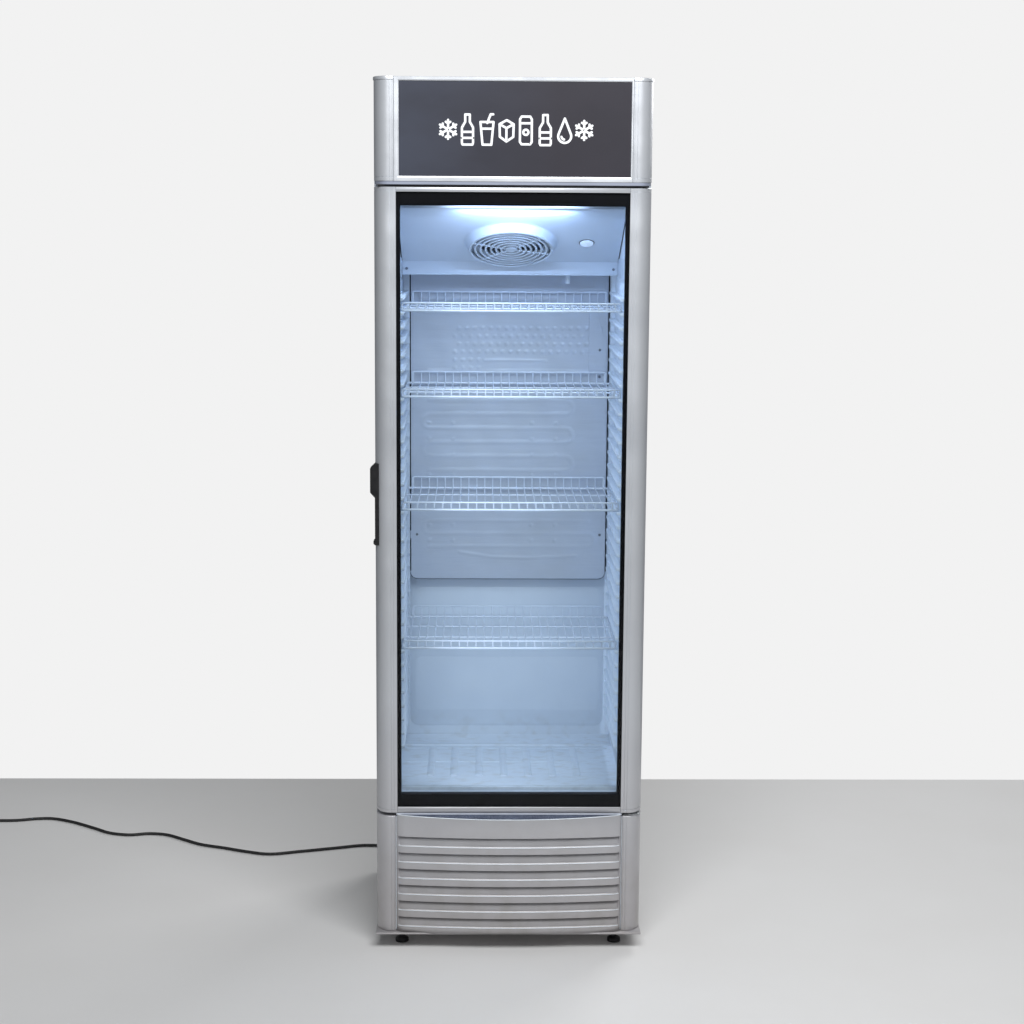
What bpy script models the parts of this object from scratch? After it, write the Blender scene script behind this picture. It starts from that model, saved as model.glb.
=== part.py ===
"""Upright drinks merchandiser with one glass door, built as an assembly of separate parts.

Units are metres. +Z is up, the front faces -Y and the origin is on the floor under the middle.
"""

import math

import bmesh
import bpy
from mathutils import Matrix, Vector

# ---- driving dimensions -------------------------------------------------------------------
GAP = 0.0003  # clearance between touching pieces

HALF_WIDTH = 0.309  # outer face of the side panels and posts
TOP = 2.000
FRONT = -0.263  # front plane of the posts
REAR = 0.285
POST_DEPTH = 0.047
POST_FLAT = 0.275  # the posts' front is flat up to this X, then rounds back to the side
DOOR_BACK = FRONT + POST_DEPTH
CABINET_FRONT = -0.206  # face that the door gasket closes on
SHEET = 0.0012  # sheet steel skins

BASE_LOW, BASE_HIGH = 0.038, 0.042
BASE_FRONT = -0.275
KICK_TOP = 0.3215
DOOR_LOW, DOOR_HIGH = 0.3295, 1.7610
HEADER_LOW = 1.7690
CAP_LOW = 1.9923  # underside of the caps on the header posts
CABINET_TOP = 1.8060
CORE_LOW = 0.3250

CAVITY_HALF = 0.262
CAVITY_LOW, CAVITY_HIGH = 0.3780, 1.7450
CAVITY_BACK = 0.209
LINER = 0.0015

GLASS_HALF = 0.2590  # between the door posts
SIGHT_HALF = 0.2525  # clear glass inside the black border
SIGHT_LOW, SIGHT_HIGH = 0.3766, 1.7257
RAIL_LOW_TOP, RAIL_HIGH_LOW = 0.3433, 1.7507
GLASS_FRONT = -0.2590
GLASS_THICK = 0.004
GLASS_BACK = -0.2310
GROOVE = 0.0060  # how far the glazing sits in the posts and rails

HINGE_X, HINGE_Y = 0.291, -0.242
PIN_RADIUS = 0.004

SIGN_HALF = 0.2550
SIGN_LOW = 1.7850
SIGN_HIGH = CAP_LOW - 0.0055
HEADER_INNER = 0.2635  # inner faces of the header posts and kick posts

LOUVRE_HALF = 0.2520  # six louvre slots in the kick panel
LOUVRE_FIRST, LOUVRE_PITCH, LOUVRE_TALL = 0.0610, 0.0387, 0.0220
LOUVRE_DEEP = -0.2565

HANDLE_LOW, HANDLE_HIGH = 0.9565, 1.1437
HANDLE_FRONT, HANDLE_BACK = FRONT + 0.0144, FRONT + 0.0400
HANDLE_INNER = -0.2970
GRIP_LOW = 1.0716  # the proud part of the handle starts here
GRIP_PROUD, TOE_PROUD = -0.3195, -0.3125

SHELF_PITCH = 0.03265
SHELF_TOP_Z = 1.4857
SHELF_STEPS = (0, 6, 14, 24)  # ledges below the top shelf
SHELF_HALF = 0.2525
SHELF_FRONT, SHELF_BACK = -0.183, 0.167
WIRE = 0.0028  # radius of a shelf's frame wire
LEDGE_TIP = 0.245
LEDGE_HEIGHT = 0.010
SUPPORT_LOW, SUPPORT_HIGH = 0.428, 1.545

PANEL_HIGH = (-0.126, 1.696)  # Y and Z of the fan housing's upper crease
PANEL_LOW = (0.102, 1.588)
FAN_Y, FAN_Z = -0.0006, 1.6365  # fan axis where it crosses the housing panel
KNOB_X = 0.178
SLOPE = math.atan2(PANEL_HIGH[1] - PANEL_LOW[1], PANEL_LOW[0] - PANEL_HIGH[0])

CONDENSER_X, CONDENSER_Z = -0.130, 0.165
COMPRESSOR_X, COMPRESSOR_Y = 0.150, 0.120

GLAND_X, GLAND_Z = -0.200, 0.100
CORD_RADIUS = 0.004
COIL_X, COIL_Y = -1.520, 0.616
COIL_TURN = 0.045  # radius at the middle of the turns
CORD_ROUTE = (
    (-0.200, 0.3253, 0.1000),
    (-0.200, 0.352, 0.0985),
    (-0.203, 0.374, 0.0850),
    (-0.209, 0.388, 0.0560),
    (-0.219, 0.402, 0.0250),
    (-0.236, 0.421, 0.0060),
    (-0.262, 0.438, 0.0041),
    (-0.304, 0.452, 0.0041),
    (-0.348, 0.456, 0.0041),
    (-0.392, 0.455, 0.0041),
    (-0.444, 0.438, 0.0041),
    (-0.550, 0.406, 0.0041),
    (-0.627, 0.385, 0.0041),
    (-0.690, 0.403, 0.0041),
    (-0.754, 0.433, 0.0041),
    (-0.822, 0.462, 0.0041),
    (-0.873, 0.501, 0.0041),
    (-0.928, 0.543, 0.0041),
    (-0.980, 0.553, 0.0041),
    (-1.030, 0.542, 0.0041),
    (-1.087, 0.558, 0.0041),
    (-1.137, 0.598, 0.0041),
    (-1.205, 0.650, 0.0041),
    (-1.267, 0.682, 0.0041),
    (-1.315, 0.682, 0.0041),
    (-1.370, 0.667, 0.0041),
    (-1.430, 0.6655, 0.0041),
    (-1.491, 0.6655, 0.0041),
)

# ---- collections and materials ------------------------------------------------------------
PARTS = "glass_door_merchandiser"
CUTTERS = "cutters"


def clear_scene():
    for thing in list(bpy.data.objects):
        bpy.data.objects.remove(thing, do_unlink=True)


def new_collection(name):
    collection = bpy.data.collections.new(name)
    bpy.context.scene.collection.children.link(collection)
    return collection


def material(name, colour, roughness, metallic=0.0, transmission=0.0, glow=0.0):
    made = bpy.data.materials.new(name)
    made.use_nodes = True
    shader = made.node_tree.nodes["Principled BSDF"]
    shader.inputs["Base Color"].default_value = (*colour, 1.0)
    shader.inputs["Roughness"].default_value = roughness
    shader.inputs["Metallic"].default_value = metallic
    shader.inputs["Transmission Weight"].default_value = transmission
    shader.inputs["Emission Color"].default_value = (*colour, 1.0)
    shader.inputs["Emission Strength"].default_value = glow
    return made


clear_scene()
parts = new_collection(PARTS)
cutters = new_collection(CUTTERS)
silver = material("silver_trim", (0.60, 0.61, 0.62), 0.35, 0.6)
grey_steel = material("grey_steel", (0.55, 0.56, 0.57), 0.45, 0.3)
zinc = material("zinc_steel", (0.62, 0.62, 0.60), 0.40, 0.9)
white = material("white_plastic", (0.82, 0.85, 0.90), 0.40)
wire_white = material("white_wire", (0.86, 0.88, 0.90), 0.35)
foam = material("foam", (0.80, 0.76, 0.60), 0.9)
black = material("black_plastic", (0.02, 0.02, 0.022), 0.45)
rubber = material("rubber", (0.03, 0.03, 0.03), 0.8)
gasket_grey = material("gasket_grey", (0.45, 0.46, 0.47), 0.7)
glass = material("clear_glass", (0.92, 0.96, 0.98), 0.02, 0.0, 1.0)
sign_face = material("sign_face", (0.05, 0.047, 0.053), 0.45)
copper = material("copper", (0.72, 0.38, 0.22), 0.3, 1.0)
black_paint = material("black_paint", (0.03, 0.03, 0.032), 0.4, 0.2)
aluminium = material("plate_aluminium", (0.78, 0.80, 0.83), 0.4, 0.7)
light = material("light_diffuser", (0.95, 0.97, 1.0), 0.4, 0.0, 0.0, 2.0)


# ---- shape helpers ------------------------------------------------------------------------
def add(name, mesh, paint, home=parts):
    made = bpy.data.objects.new(name, mesh)
    if paint:
        mesh.materials.clear()
        mesh.materials.append(paint)
    home.objects.link(made)
    return made


def box_mesh(name, low, high, bevel=0.0):
    mesh = bpy.data.meshes.new(name)
    shape = bmesh.new()
    bmesh.ops.create_cube(shape, size=1.0)
    size = Vector(high) - Vector(low)
    bmesh.ops.scale(shape, vec=size, verts=shape.verts)
    bmesh.ops.translate(shape, vec=(Vector(low) + Vector(high)) / 2, verts=shape.verts)
    if bevel:
        bmesh.ops.bevel(shape, geom=shape.edges, offset=bevel, segments=2, affect="EDGES")
    shape.to_mesh(mesh)
    shape.free()
    return mesh


def box(name, low, high, paint, bevel=0.0, home=parts):
    return add(name, box_mesh(name, low, high, bevel), paint, home)


def round_mesh(name, radius_low, radius_high, length, segments=32):
    """A cylinder or cone along Z, from z = 0 to z = length."""
    mesh = bpy.data.meshes.new(name)
    shape = bmesh.new()
    bmesh.ops.create_cone(
        shape, cap_ends=True, segments=segments, radius1=radius_low, radius2=radius_high, depth=length
    )
    bmesh.ops.translate(shape, vec=(0.0, 0.0, length / 2), verts=shape.verts)
    shape.to_mesh(mesh)
    shape.free()
    return mesh


def cylinder(name, base, direction, radius, length, paint, segments=32, home=parts, end_radius=None):
    mesh = round_mesh(name, radius, radius if end_radius is None else end_radius, length, segments)
    turn = Vector((0.0, 0.0, 1.0)).rotation_difference(Vector(direction))
    mesh.transform(Matrix.Translation(base) @ turn.to_matrix().to_4x4())
    return smooth(add(name, mesh, paint, home))


def smooth(thing, angle=35.0):
    thing.data.shade_smooth()
    thing.data.set_sharp_from_angle(angle=math.radians(angle))
    return thing


def curve_to_mesh(curve_object, name, paint, home=parts):
    """Turns a filled curve into a welded mesh object with the same place."""
    graph = bpy.context.evaluated_depsgraph_get()
    mesh = bpy.data.meshes.new_from_object(curve_object.evaluated_get(graph))
    mesh.transform(curve_object.matrix_world)
    curve = curve_object.data
    bpy.data.objects.remove(curve_object, do_unlink=True)
    bpy.data.curves.remove(curve)
    shape = bmesh.new()
    shape.from_mesh(mesh)
    bmesh.ops.remove_doubles(shape, verts=shape.verts, dist=0.00002)
    bmesh.ops.recalc_face_normals(shape, faces=shape.faces)
    shape.to_mesh(mesh)
    shape.free()
    return add(name, mesh, paint, home)


def outline(name, loops, low, high, paint, axis="Z", home=parts):
    """A flat outline with its holes, drawn across `axis` and as thick as low to high along it.

    Points are (x, y) for axis Z, (x, z) for axis Y and (y, z) for axis X.
    """
    curve = bpy.data.curves.new(name, "CURVE")
    curve.dimensions = "2D"
    curve.fill_mode = "BOTH"
    curve.extrude = (high - low) / 2
    for loop in loops:
        spline = curve.splines.new("POLY")
        spline.points.add(len(loop) - 1)
        for point, (u, v) in zip(spline.points, loop):
            point.co = (u, v, 0.0, 1.0)
        spline.use_cyclic_u = True
    made = bpy.data.objects.new(name, curve)
    home.objects.link(made)
    middle = (low + high) / 2
    if axis == "Z":
        made.matrix_world = Matrix.Translation((0.0, 0.0, middle))
    elif axis == "Y":
        made.matrix_world = Matrix.Translation((0.0, middle, 0.0)) @ Matrix.Rotation(math.pi / 2, 4, "X")
    else:
        turn = Matrix(((0, 0, 1, 0), (1, 0, 0, 0), (0, 1, 0, 0), (0, 0, 0, 1)))
        made.matrix_world = Matrix.Translation((middle, 0.0, 0.0)) @ turn
    bpy.context.view_layer.update()
    return curve_to_mesh(made, name, paint, home)


def tube(name, points, radius, paint, resolution=2, home=parts):
    """A round wire or pipe through the points, with closed ends."""
    curve = bpy.data.curves.new(name, "CURVE")
    curve.dimensions = "3D"
    curve.bevel_depth = radius
    curve.bevel_resolution = resolution
    curve.use_fill_caps = True
    spline = curve.splines.new("POLY")
    spline.points.add(len(points) - 1)
    for point, place in zip(spline.points, points):
        point.co = (*place, 1.0)
    made = bpy.data.objects.new(name, curve)
    home.objects.link(made)
    bpy.context.view_layer.update()
    return smooth(curve_to_mesh(made, name, paint, home))


def turned(name, profile, place, direction, paint, steps=32, closed=False, home=parts):
    """A profile of (radius, height) points turned about `direction` through `place`.

    The profile runs from the top down its outer side, so the faces point out.
    """
    mesh = bpy.data.meshes.new(name)
    shape = bmesh.new()
    corners = [shape.verts.new((radius, 0.0, height)) for radius, height in profile]
    for one, two in zip(corners, corners[1:]):
        shape.edges.new((one, two))
    if closed:
        shape.edges.new((corners[-1], corners[0]))
    shape.to_mesh(mesh)
    shape.free()
    made = add(name, mesh, paint, home)
    turn = Vector((0.0, 0.0, 1.0)).rotation_difference(Vector(direction))
    made.matrix_world = Matrix.Translation(place) @ turn.to_matrix().to_4x4()
    screw = made.modifiers.new("Turn", "SCREW")
    screw.steps = steps
    screw.render_steps = steps
    screw.use_merge_vertices = True
    screw.merge_threshold = 0.00005
    screw.use_smooth_shade = True
    bpy.context.view_layer.update()
    return made


def applied(thing):
    """The same object with its modifiers and its place made part of its mesh."""
    graph = bpy.context.evaluated_depsgraph_get()
    mesh = bpy.data.meshes.new_from_object(thing.evaluated_get(graph))
    mesh.transform(thing.matrix_world)
    thing.modifiers.clear()
    thing.data = mesh
    thing.matrix_world = Matrix.Identity(4)
    return thing


def mirrored(source, name, paint):
    """A left-hand copy of a right-hand piece."""
    mesh = source.data.copy()
    mesh.transform(Matrix.Scale(-1.0, 4, (1.0, 0.0, 0.0)))
    mesh.flip_normals()
    return add(name, mesh, paint)


def as_tool(thing):
    for owner in list(thing.users_collection):
        owner.objects.unlink(thing)
    cutters.objects.link(thing)
    thing.hide_render = True
    thing.display_type = "WIRE"
    return thing


def boolean(target, tool, operation):
    as_tool(tool)
    step = target.modifiers.new(tool.name, "BOOLEAN")
    step.operation = operation
    step.solver = "EXACT"
    step.object = tool
    return target


def cut(target, *tools):
    for tool in tools:
        boolean(target, tool, "DIFFERENCE")
    return target


def join(target, *tools):
    for tool in tools:
        boolean(target, tool, "UNION")
    return target


def body(name, place, *pieces):
    """An empty on a joint's axis that carries the pieces of a moving body."""
    empty = bpy.data.objects.new(name, None)
    empty.location = place
    empty.empty_display_size = 0.05
    parts.objects.link(empty)
    bpy.context.view_layer.update()
    for piece in pieces:
        kept = piece.matrix_world.copy()
        piece.parent = empty
        piece.matrix_parent_inverse = empty.matrix_world.inverted()
        piece.matrix_world = kept
    return empty


# ---- outlines that several pieces share ---------------------------------------------------
def post_outline(side, inner, back, proud=0.0, groove=False):
    """Section of a corner post: flat in front, rounded at the outer corner, square behind."""
    across = HALF_WIDTH - POST_FLAT
    points = [(inner, back), (inner, FRONT - proud)]
    if groove:
        deep = inner + GROOVE
        points = [
            (inner, back),
            (inner, GLASS_BACK + GAP),
            (deep, GLASS_BACK + GAP),
            (deep, GLASS_FRONT - GAP),
            (inner, GLASS_FRONT - GAP),
            (inner, FRONT),
        ]
    for step in range(13):
        angle = math.radians(90.0 * step / 12)
        x = POST_FLAT + (across + proud) * math.sin(angle)
        y = FRONT - proud + (POST_DEPTH + proud) * (1.0 - math.cos(angle))
        points.append((x, y))
    if back > DOOR_BACK + proud:
        points.append((HALF_WIDTH + proud, back))
    return [(side * x, y) for x, y in points]


def bow(x, inset=0.0):
    """Y of the kick panel's bowed front at X, moved in by `inset`."""
    middle, shallow, knee, end = -0.285, 0.015, 0.240, 0.2630
    across = min(abs(x), end - inset)
    turn = min(1.0, max(0.0, (across - knee) / (end - knee - inset)))
    return middle + inset + shallow * (across / knee) ** 2 + 0.017 * (1.0 - math.sqrt(1.0 - turn * turn))


def bow_line(inset=0.0):
    end, knee = 0.2630 - inset, 0.240
    flat = [knee * step / 6 for step in range(-6, 7)]
    ends = [knee + (end - knee) * math.sin(math.radians(22.5 * step)) for step in range(1, 5)]
    across = [-x for x in reversed(ends)] + flat + ends
    return [(x, bow(x, inset)) for x in across]


def on_panel(x, along, out=0.0):
    """A point of the sloping fan panel: `along` it from the fan's centre, `out` towards the shelves."""
    y = FAN_Y + along * math.cos(SLOPE) - out * math.sin(SLOPE)
    z = FAN_Z - along * math.sin(SLOPE) - out * math.cos(SLOPE)
    return Vector((x, y, z))


PANEL_OUT = Vector((0.0, -math.sin(SLOPE), -math.cos(SLOPE)))


# ---- cabinet shell ------------------------------------------------------------------------
def make_core():
    core_x = HALF_WIDTH - SHEET - GAP
    core = box(
        "insulation_core",
        (-core_x, CABINET_FRONT + 0.0023, CORE_LOW),
        (core_x, REAR - SHEET - 2 * GAP, CABINET_TOP - SHEET - 2 * GAP),
        foam,
    )
    wall = LINER + GAP
    hollow = box(
        "core_hollow",
        (-CAVITY_HALF - wall, CABINET_FRONT - 0.05, CAVITY_LOW - wall),
        (CAVITY_HALF + wall, CAVITY_BACK + wall, CAVITY_HIGH + wall),
        None,
    )
    return cut(core, hollow)


def make_liner():
    liner = box(
        "inner_liner",
        (-CAVITY_HALF - LINER, CABINET_FRONT + 0.0023, CAVITY_LOW - LINER),
        (CAVITY_HALF + LINER, CAVITY_BACK + LINER, CAVITY_HIGH + LINER),
        white,
    )
    hollow = box(
        "liner_hollow",
        (-CAVITY_HALF, CABINET_FRONT - 0.05, CAVITY_LOW),
        (CAVITY_HALF, CAVITY_BACK, CAVITY_HIGH),
        None,
    )
    return cut(liner, hollow)


def make_shelf_supports():
    """A moulded strip of ledges down each wall, which the shelves' end wires rest on."""
    root, back = CAVITY_HALF - 0.0025, CAVITY_HALF - GAP
    points = [(back, SUPPORT_LOW), (back, SUPPORT_HIGH), (root, SUPPORT_HIGH)]
    first = SHELF_TOP_Z - WIRE - GAP + SHELF_PITCH
    for step in range(34):
        top = first - step * SHELF_PITCH
        low = top - LEDGE_HEIGHT
        if low < SUPPORT_LOW + 0.004:
            break
        points += [(root, top), (LEDGE_TIP, top), (LEDGE_TIP, low + 0.003), (root, low)]
    points.append((root, SUPPORT_LOW))
    front, back = SHELF_FRONT - 0.008, SHELF_BACK + 0.004
    right = outline("shelf_support_right", [points], front, back, white, axis="Y")
    mirrored(right, "shelf_support_left", white)


def ring_plate(name, outer, inner, low, high, paint):
    """A rectangular frame across Y: outer and inner are (half width, low z, high z)."""
    loops = []
    for half, bottom, top in (outer, inner):
        loops.append([(-half, bottom), (half, bottom), (half, top), (-half, top)])
    return outline(name, loops, low, high, paint, axis="Y")


def make_front_frame():
    return ring_plate(
        "front_frame",
        (HALF_WIDTH, CORE_LOW + 0.0015, CABINET_TOP - SHEET - GAP),
        (CAVITY_HALF - 0.0005, CAVITY_LOW + 0.0005, CAVITY_HIGH - 0.0005),
        CABINET_FRONT,
        CABINET_FRONT + 0.002,
        white,
    )


def make_skins():
    front = CABINET_FRONT + 0.0023
    inner = HALF_WIDTH - SHEET
    for side, name in ((-1, "side_panel_left"), (1, "side_panel_right")):
        xs = sorted((side * inner, side * HALF_WIDTH))
        box(name, (xs[0], front, BASE_HIGH + GAP), (xs[1], REAR - GAP, CABINET_TOP - SHEET - GAP), grey_steel)
    box(
        "back_panel",
        (-inner + GAP, REAR - SHEET - GAP, KICK_TOP + 0.001),
        (inner - GAP, REAR - GAP, CABINET_TOP - SHEET - GAP),
        zinc,
    )
    box(
        "top_panel",
        (-HALF_WIDTH, CABINET_FRONT, CABINET_TOP - SHEET),
        (HALF_WIDTH, REAR, CABINET_TOP),
        grey_steel,
    )


def make_base():
    half = HALF_WIDTH + 0.0005
    box("base_plate", (-half, BASE_FRONT, BASE_LOW), (half, REAR, BASE_HIGH), silver)
    for side, place in ((-1, "left"), (1, "right")):
        for y, end in ((BASE_FRONT + 0.060, "front"), (REAR - 0.060, "rear")):
            make_foot(f"foot_{end}_{place}", side * 0.251, y)


def make_foot(name, x, y):
    height = BASE_LOW - GAP
    profile = [
        (0.0, height),
        (0.010, height),
        (0.010, 0.026),
        (0.0065, 0.025),
        (0.0065, 0.013),
        (0.0155, 0.008),
        (0.0155, 0.0),
        (0.0, 0.0),
    ]
    return turned(name, profile, (x, y, 0.0), (0.0, 0.0, 1.0), black, steps=18)


def make_kick():
    low, high = BASE_HIGH + GAP, KICK_TOP
    outer, inner = bow_line(), bow_line(0.003)
    panel = outline("kick_panel", [outer + list(reversed(inner))], low, high - 0.0015, silver)
    back = CABINET_FRONT - 0.010
    lid = [(-0.2630, back)] + outer + [(0.2630, back)]
    join(panel, outline("kick_lid", [lid], high - 0.0025, high, None))
    for step in range(6):
        bottom = LOUVRE_FIRST + LOUVRE_PITCH * step
        front_corner = (-LOUVRE_HALF, -0.300, bottom)
        back_corner = (LOUVRE_HALF, LOUVRE_DEEP, bottom + LOUVRE_TALL)
        cut(panel, box(f"slot_{step}", front_corner, back_corner, None))
    for side, name in ((-1, "kick_post_left"), (1, "kick_post_right")):
        shape = post_outline(side, HEADER_INNER, CABINET_FRONT + 0.0020)
        smooth(outline(name, [shape], low, high, silver))


# ---- header -------------------------------------------------------------------------------
def make_header():
    for side, place in ((-1, "left"), (1, "right")):
        shape = post_outline(side, HEADER_INNER, DOOR_BACK)
        smooth(outline(f"header_post_{place}", [shape], HEADER_LOW, CAP_LOW - GAP, silver))
        rim = post_outline(side, HEADER_INNER - 0.0015, DOOR_BACK, proud=0.0015)
        smooth(outline(f"header_cap_{place}", [rim], CAP_LOW, TOP, silver))
    ring_plate(
        "sign_frame",
        (HEADER_INNER - GAP, HEADER_LOW, CAP_LOW - 0.0003),
        (SIGN_HALF, SIGN_LOW, SIGN_HIGH),
        FRONT + 0.001,
        FRONT + 0.013,
        silver,
    )
    box(
        "sign_panel",
        (-SIGN_HALF + GAP, FRONT + 0.0035, SIGN_LOW + GAP),
        (SIGN_HALF - GAP, FRONT + 0.0065, SIGN_HIGH - GAP),
        sign_face,
    )


def make_canopy():
    """Folded steel lightbox behind the sign, open towards it."""
    front, back = DOOR_BACK + GAP, -0.125
    low, high = CABINET_TOP + GAP, TOP - 0.0012
    wall = 0.0018
    half = HALF_WIDTH - 0.0005
    shell = box("canopy_housing", (-half, front, low), (half, back, high), grey_steel)
    inside = (half - wall, back - wall, high - wall)
    cut(shell, box("canopy_hollow", (-inside[0], front - 0.05, low + wall), inside, None))
    lip_x = HEADER_INNER - 0.0019
    behind_sign = FRONT + 0.0135
    riser = CABINET_FRONT - 0.0006
    join(
        shell,
        box("canopy_roof", (-lip_x, behind_sign, high - wall), (lip_x, front + 0.004, high), None),
        box("canopy_floor", (-lip_x, behind_sign, HEADER_LOW), (lip_x, riser, HEADER_LOW + wall), None),
        box("canopy_riser", (-lip_x, riser - wall, HEADER_LOW + 0.0005), (lip_x, riser, low + 0.0009), None),
    )


# ---- door ---------------------------------------------------------------------------------
def make_door_posts():
    made = []
    for side, place in ((-1, "left"), (1, "right")):
        shape = post_outline(side, GLASS_HALF, DOOR_BACK, groove=True)
        made.append(outline(f"door_post_{place}", [shape], DOOR_LOW, DOOR_HIGH, silver))
    left, right = made
    recess_low = (-0.330, HANDLE_FRONT - GAP, HANDLE_LOW - GAP)
    recess_high = (HANDLE_INNER + GAP, HANDLE_BACK + GAP, HANDLE_HIGH + GAP)
    cut(left, box("handle_recess", recess_low, recess_high, None))
    bore = PIN_RADIUS + 0.0005
    for z, name in ((DOOR_LOW - 0.010, "lower_bore"), (DOOR_HIGH - 0.020, "upper_bore")):
        cut(right, cylinder(name, (HINGE_X, HINGE_Y, z), (0, 0, 1), bore, 0.030, None, 24, cutters))
    return made


def make_door_rail(name, low, high, groove_side):
    """A rail with the section of its groove, which opens up or down towards the glass."""
    front, back = FRONT + 0.001, DOOR_BACK
    near, far = GLASS_FRONT - GAP, GLASS_BACK + GAP
    if groove_side > 0:
        mouth, bed = high, high - GROOVE
        loop = [(front, low), (back, low), (back, mouth), (far, mouth)]
        loop += [(far, bed), (near, bed), (near, mouth), (front, mouth)]
    else:
        mouth, bed = low, low + GROOVE
        loop = [(front, high), (back, high), (back, mouth), (far, mouth)]
        loop += [(far, bed), (near, bed), (near, mouth), (front, mouth)]
    half = GLASS_HALF - GAP
    return outline(name, [loop], -half, half, silver, axis="X")


def make_glazing():
    half = GLASS_HALF + GROOVE - 0.0005
    low, high = RAIL_LOW_TOP - GROOVE + 0.0005, RAIL_HIGH_LOW + GROOVE - 0.0005
    back_of_outer = GLASS_FRONT + GLASS_THICK
    front_of_inner = GLASS_BACK - GLASS_THICK
    outer = box("outer_glass", (-half, GLASS_FRONT, low), (half, back_of_outer, high), glass)
    inner = box("inner_glass", (-half, front_of_inner, low), (half, GLASS_BACK, high), glass)
    spacer = ring_plate(
        "glass_spacer",
        (half, low, high),
        (SIGHT_HALF, SIGHT_LOW, SIGHT_HIGH),
        back_of_outer + GAP,
        front_of_inner - GAP,
        black,
    )
    frame = ring_plate(
        "door_inner_frame",
        (GLASS_HALF - GAP, RAIL_LOW_TOP + GAP, RAIL_HIGH_LOW - GAP),
        (SIGHT_HALF + 0.0005, SIGHT_LOW + 0.0004, SIGHT_HIGH - 0.0002),
        GLASS_BACK + GAP,
        DOOR_BACK,
        black,
    )
    seal = ring_plate(
        "door_gasket",
        (0.2850, 0.3450, 1.7600),
        (0.2640, 0.3776, 1.7463),
        DOOR_BACK + GAP,
        CABINET_FRONT - GAP,
        gasket_grey,
    )
    return [outer, inner, spacer, frame, seal]


def make_handle():
    """Black pull let into the left post's side, with a proud grip at the top and a small toe."""
    flush = -0.3088
    loop = [
        (HANDLE_INNER, HANDLE_LOW),
        (HANDLE_INNER, HANDLE_HIGH),
        (flush, HANDLE_HIGH),
        (GRIP_PROUD, HANDLE_HIGH - 0.011),
        (GRIP_PROUD, GRIP_LOW + 0.006),
        (flush, GRIP_LOW - 0.006),
        (flush, HANDLE_LOW + 0.011),
        (TOE_PROUD, HANDLE_LOW + 0.010),
        (TOE_PROUD, HANDLE_LOW + 0.003),
        (flush, HANDLE_LOW),
    ]
    return outline("door_handle", [loop], HANDLE_FRONT, HANDLE_BACK, black, axis="Y")


def make_door():
    pieces = make_door_posts()
    pieces.append(make_door_rail("door_rail_bottom", DOOR_LOW, RAIL_LOW_TOP, 1))
    pieces.append(make_door_rail("door_rail_top", RAIL_HIGH_LOW, DOOR_HIGH, -1))
    pieces += make_glazing()
    pieces.append(make_handle())
    body("door_axis", (HINGE_X, HINGE_Y, DOOR_LOW), *pieces)


def make_hinges():
    """A bar across the head of the door and a bracket under its corner, each with a hinge pin."""
    front, back = (-0.300, FRONT + 0.005, DOOR_HIGH + 0.002), (0.300, CABINET_FRONT - GAP, DOOR_HIGH + 0.005)
    bar = box("upper_hinge_bar", front, back, zinc)
    pin = (HINGE_X, HINGE_Y, DOOR_HIGH - 0.015)
    join(bar, cylinder("upper_pin", pin, (0, 0, 1), PIN_RADIUS, 0.0185, None, 24, cutters))
    low, high = KICK_TOP + 0.0005, CORE_LOW - GAP
    bracket = box("lower_hinge_bracket", (0.266, HINGE_Y - 0.012, low), (0.304, -0.150, high), zinc)
    pin = (HINGE_X, HINGE_Y, low + 0.001)
    join(bracket, cylinder("lower_pin", pin, (0, 0, 1), PIN_RADIUS, 0.0215, None, 24, cutters))


# ---- shelves ------------------------------------------------------------------------------
def grid_loops(u_low, u_high, v_low, v_high, bars, rows, rim, bar):
    """A rectangle with a grid of holes: `bars` openings across and `rows` up."""
    loops = [[(u_low, v_low), (u_high, v_low), (u_high, v_high), (u_low, v_high)]]
    wide = (u_high - u_low - 2 * rim + bar) / bars
    tall = (v_high - v_low - 2 * rim + bar) / rows
    for column in range(bars):
        for row in range(rows):
            left, low = u_low + rim + column * wide, v_low + rim + row * tall
            right, top = left + wide - bar, low + tall - bar
            loops.append([(left, low), (right, low), (right, top), (left, top)])
    return loops


def make_shelf(number, deck):
    """Wire shelf: a deck between two end wires, a low fence in front and a guard behind."""
    thick = 2 * WIRE
    name = f"shelf_{number}"
    loops = grid_loops(-SHELF_HALF, SHELF_HALF, SHELF_FRONT, SHELF_BACK, 8, 1, thick, 0.003)
    shelf = outline(name, loops, deck - WIRE, deck + WIRE, wire_white)
    half = LEDGE_TIP - 0.004
    for y, height, label in ((SHELF_FRONT, 0.018, "fence"), (SHELF_BACK - thick, 0.028, "guard")):
        fence = grid_loops(-half, half, deck - 0.0010, deck + height, 8, 1, 0.0045, 0.003)
        y_low, y_high = y + 0.0007, y + thick - 0.0007
        join(shelf, outline(f"{name}_{label}", fence, y_low, y_high, None, axis="Y"))
    body(f"{name}_slide", (0.0, SHELF_FRONT, deck), shelf)
    return shelf


def make_shelves():
    for number, steps in enumerate(SHELF_STEPS, start=1):
        make_shelf(number, SHELF_TOP_Z - steps * SHELF_PITCH)


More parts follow.
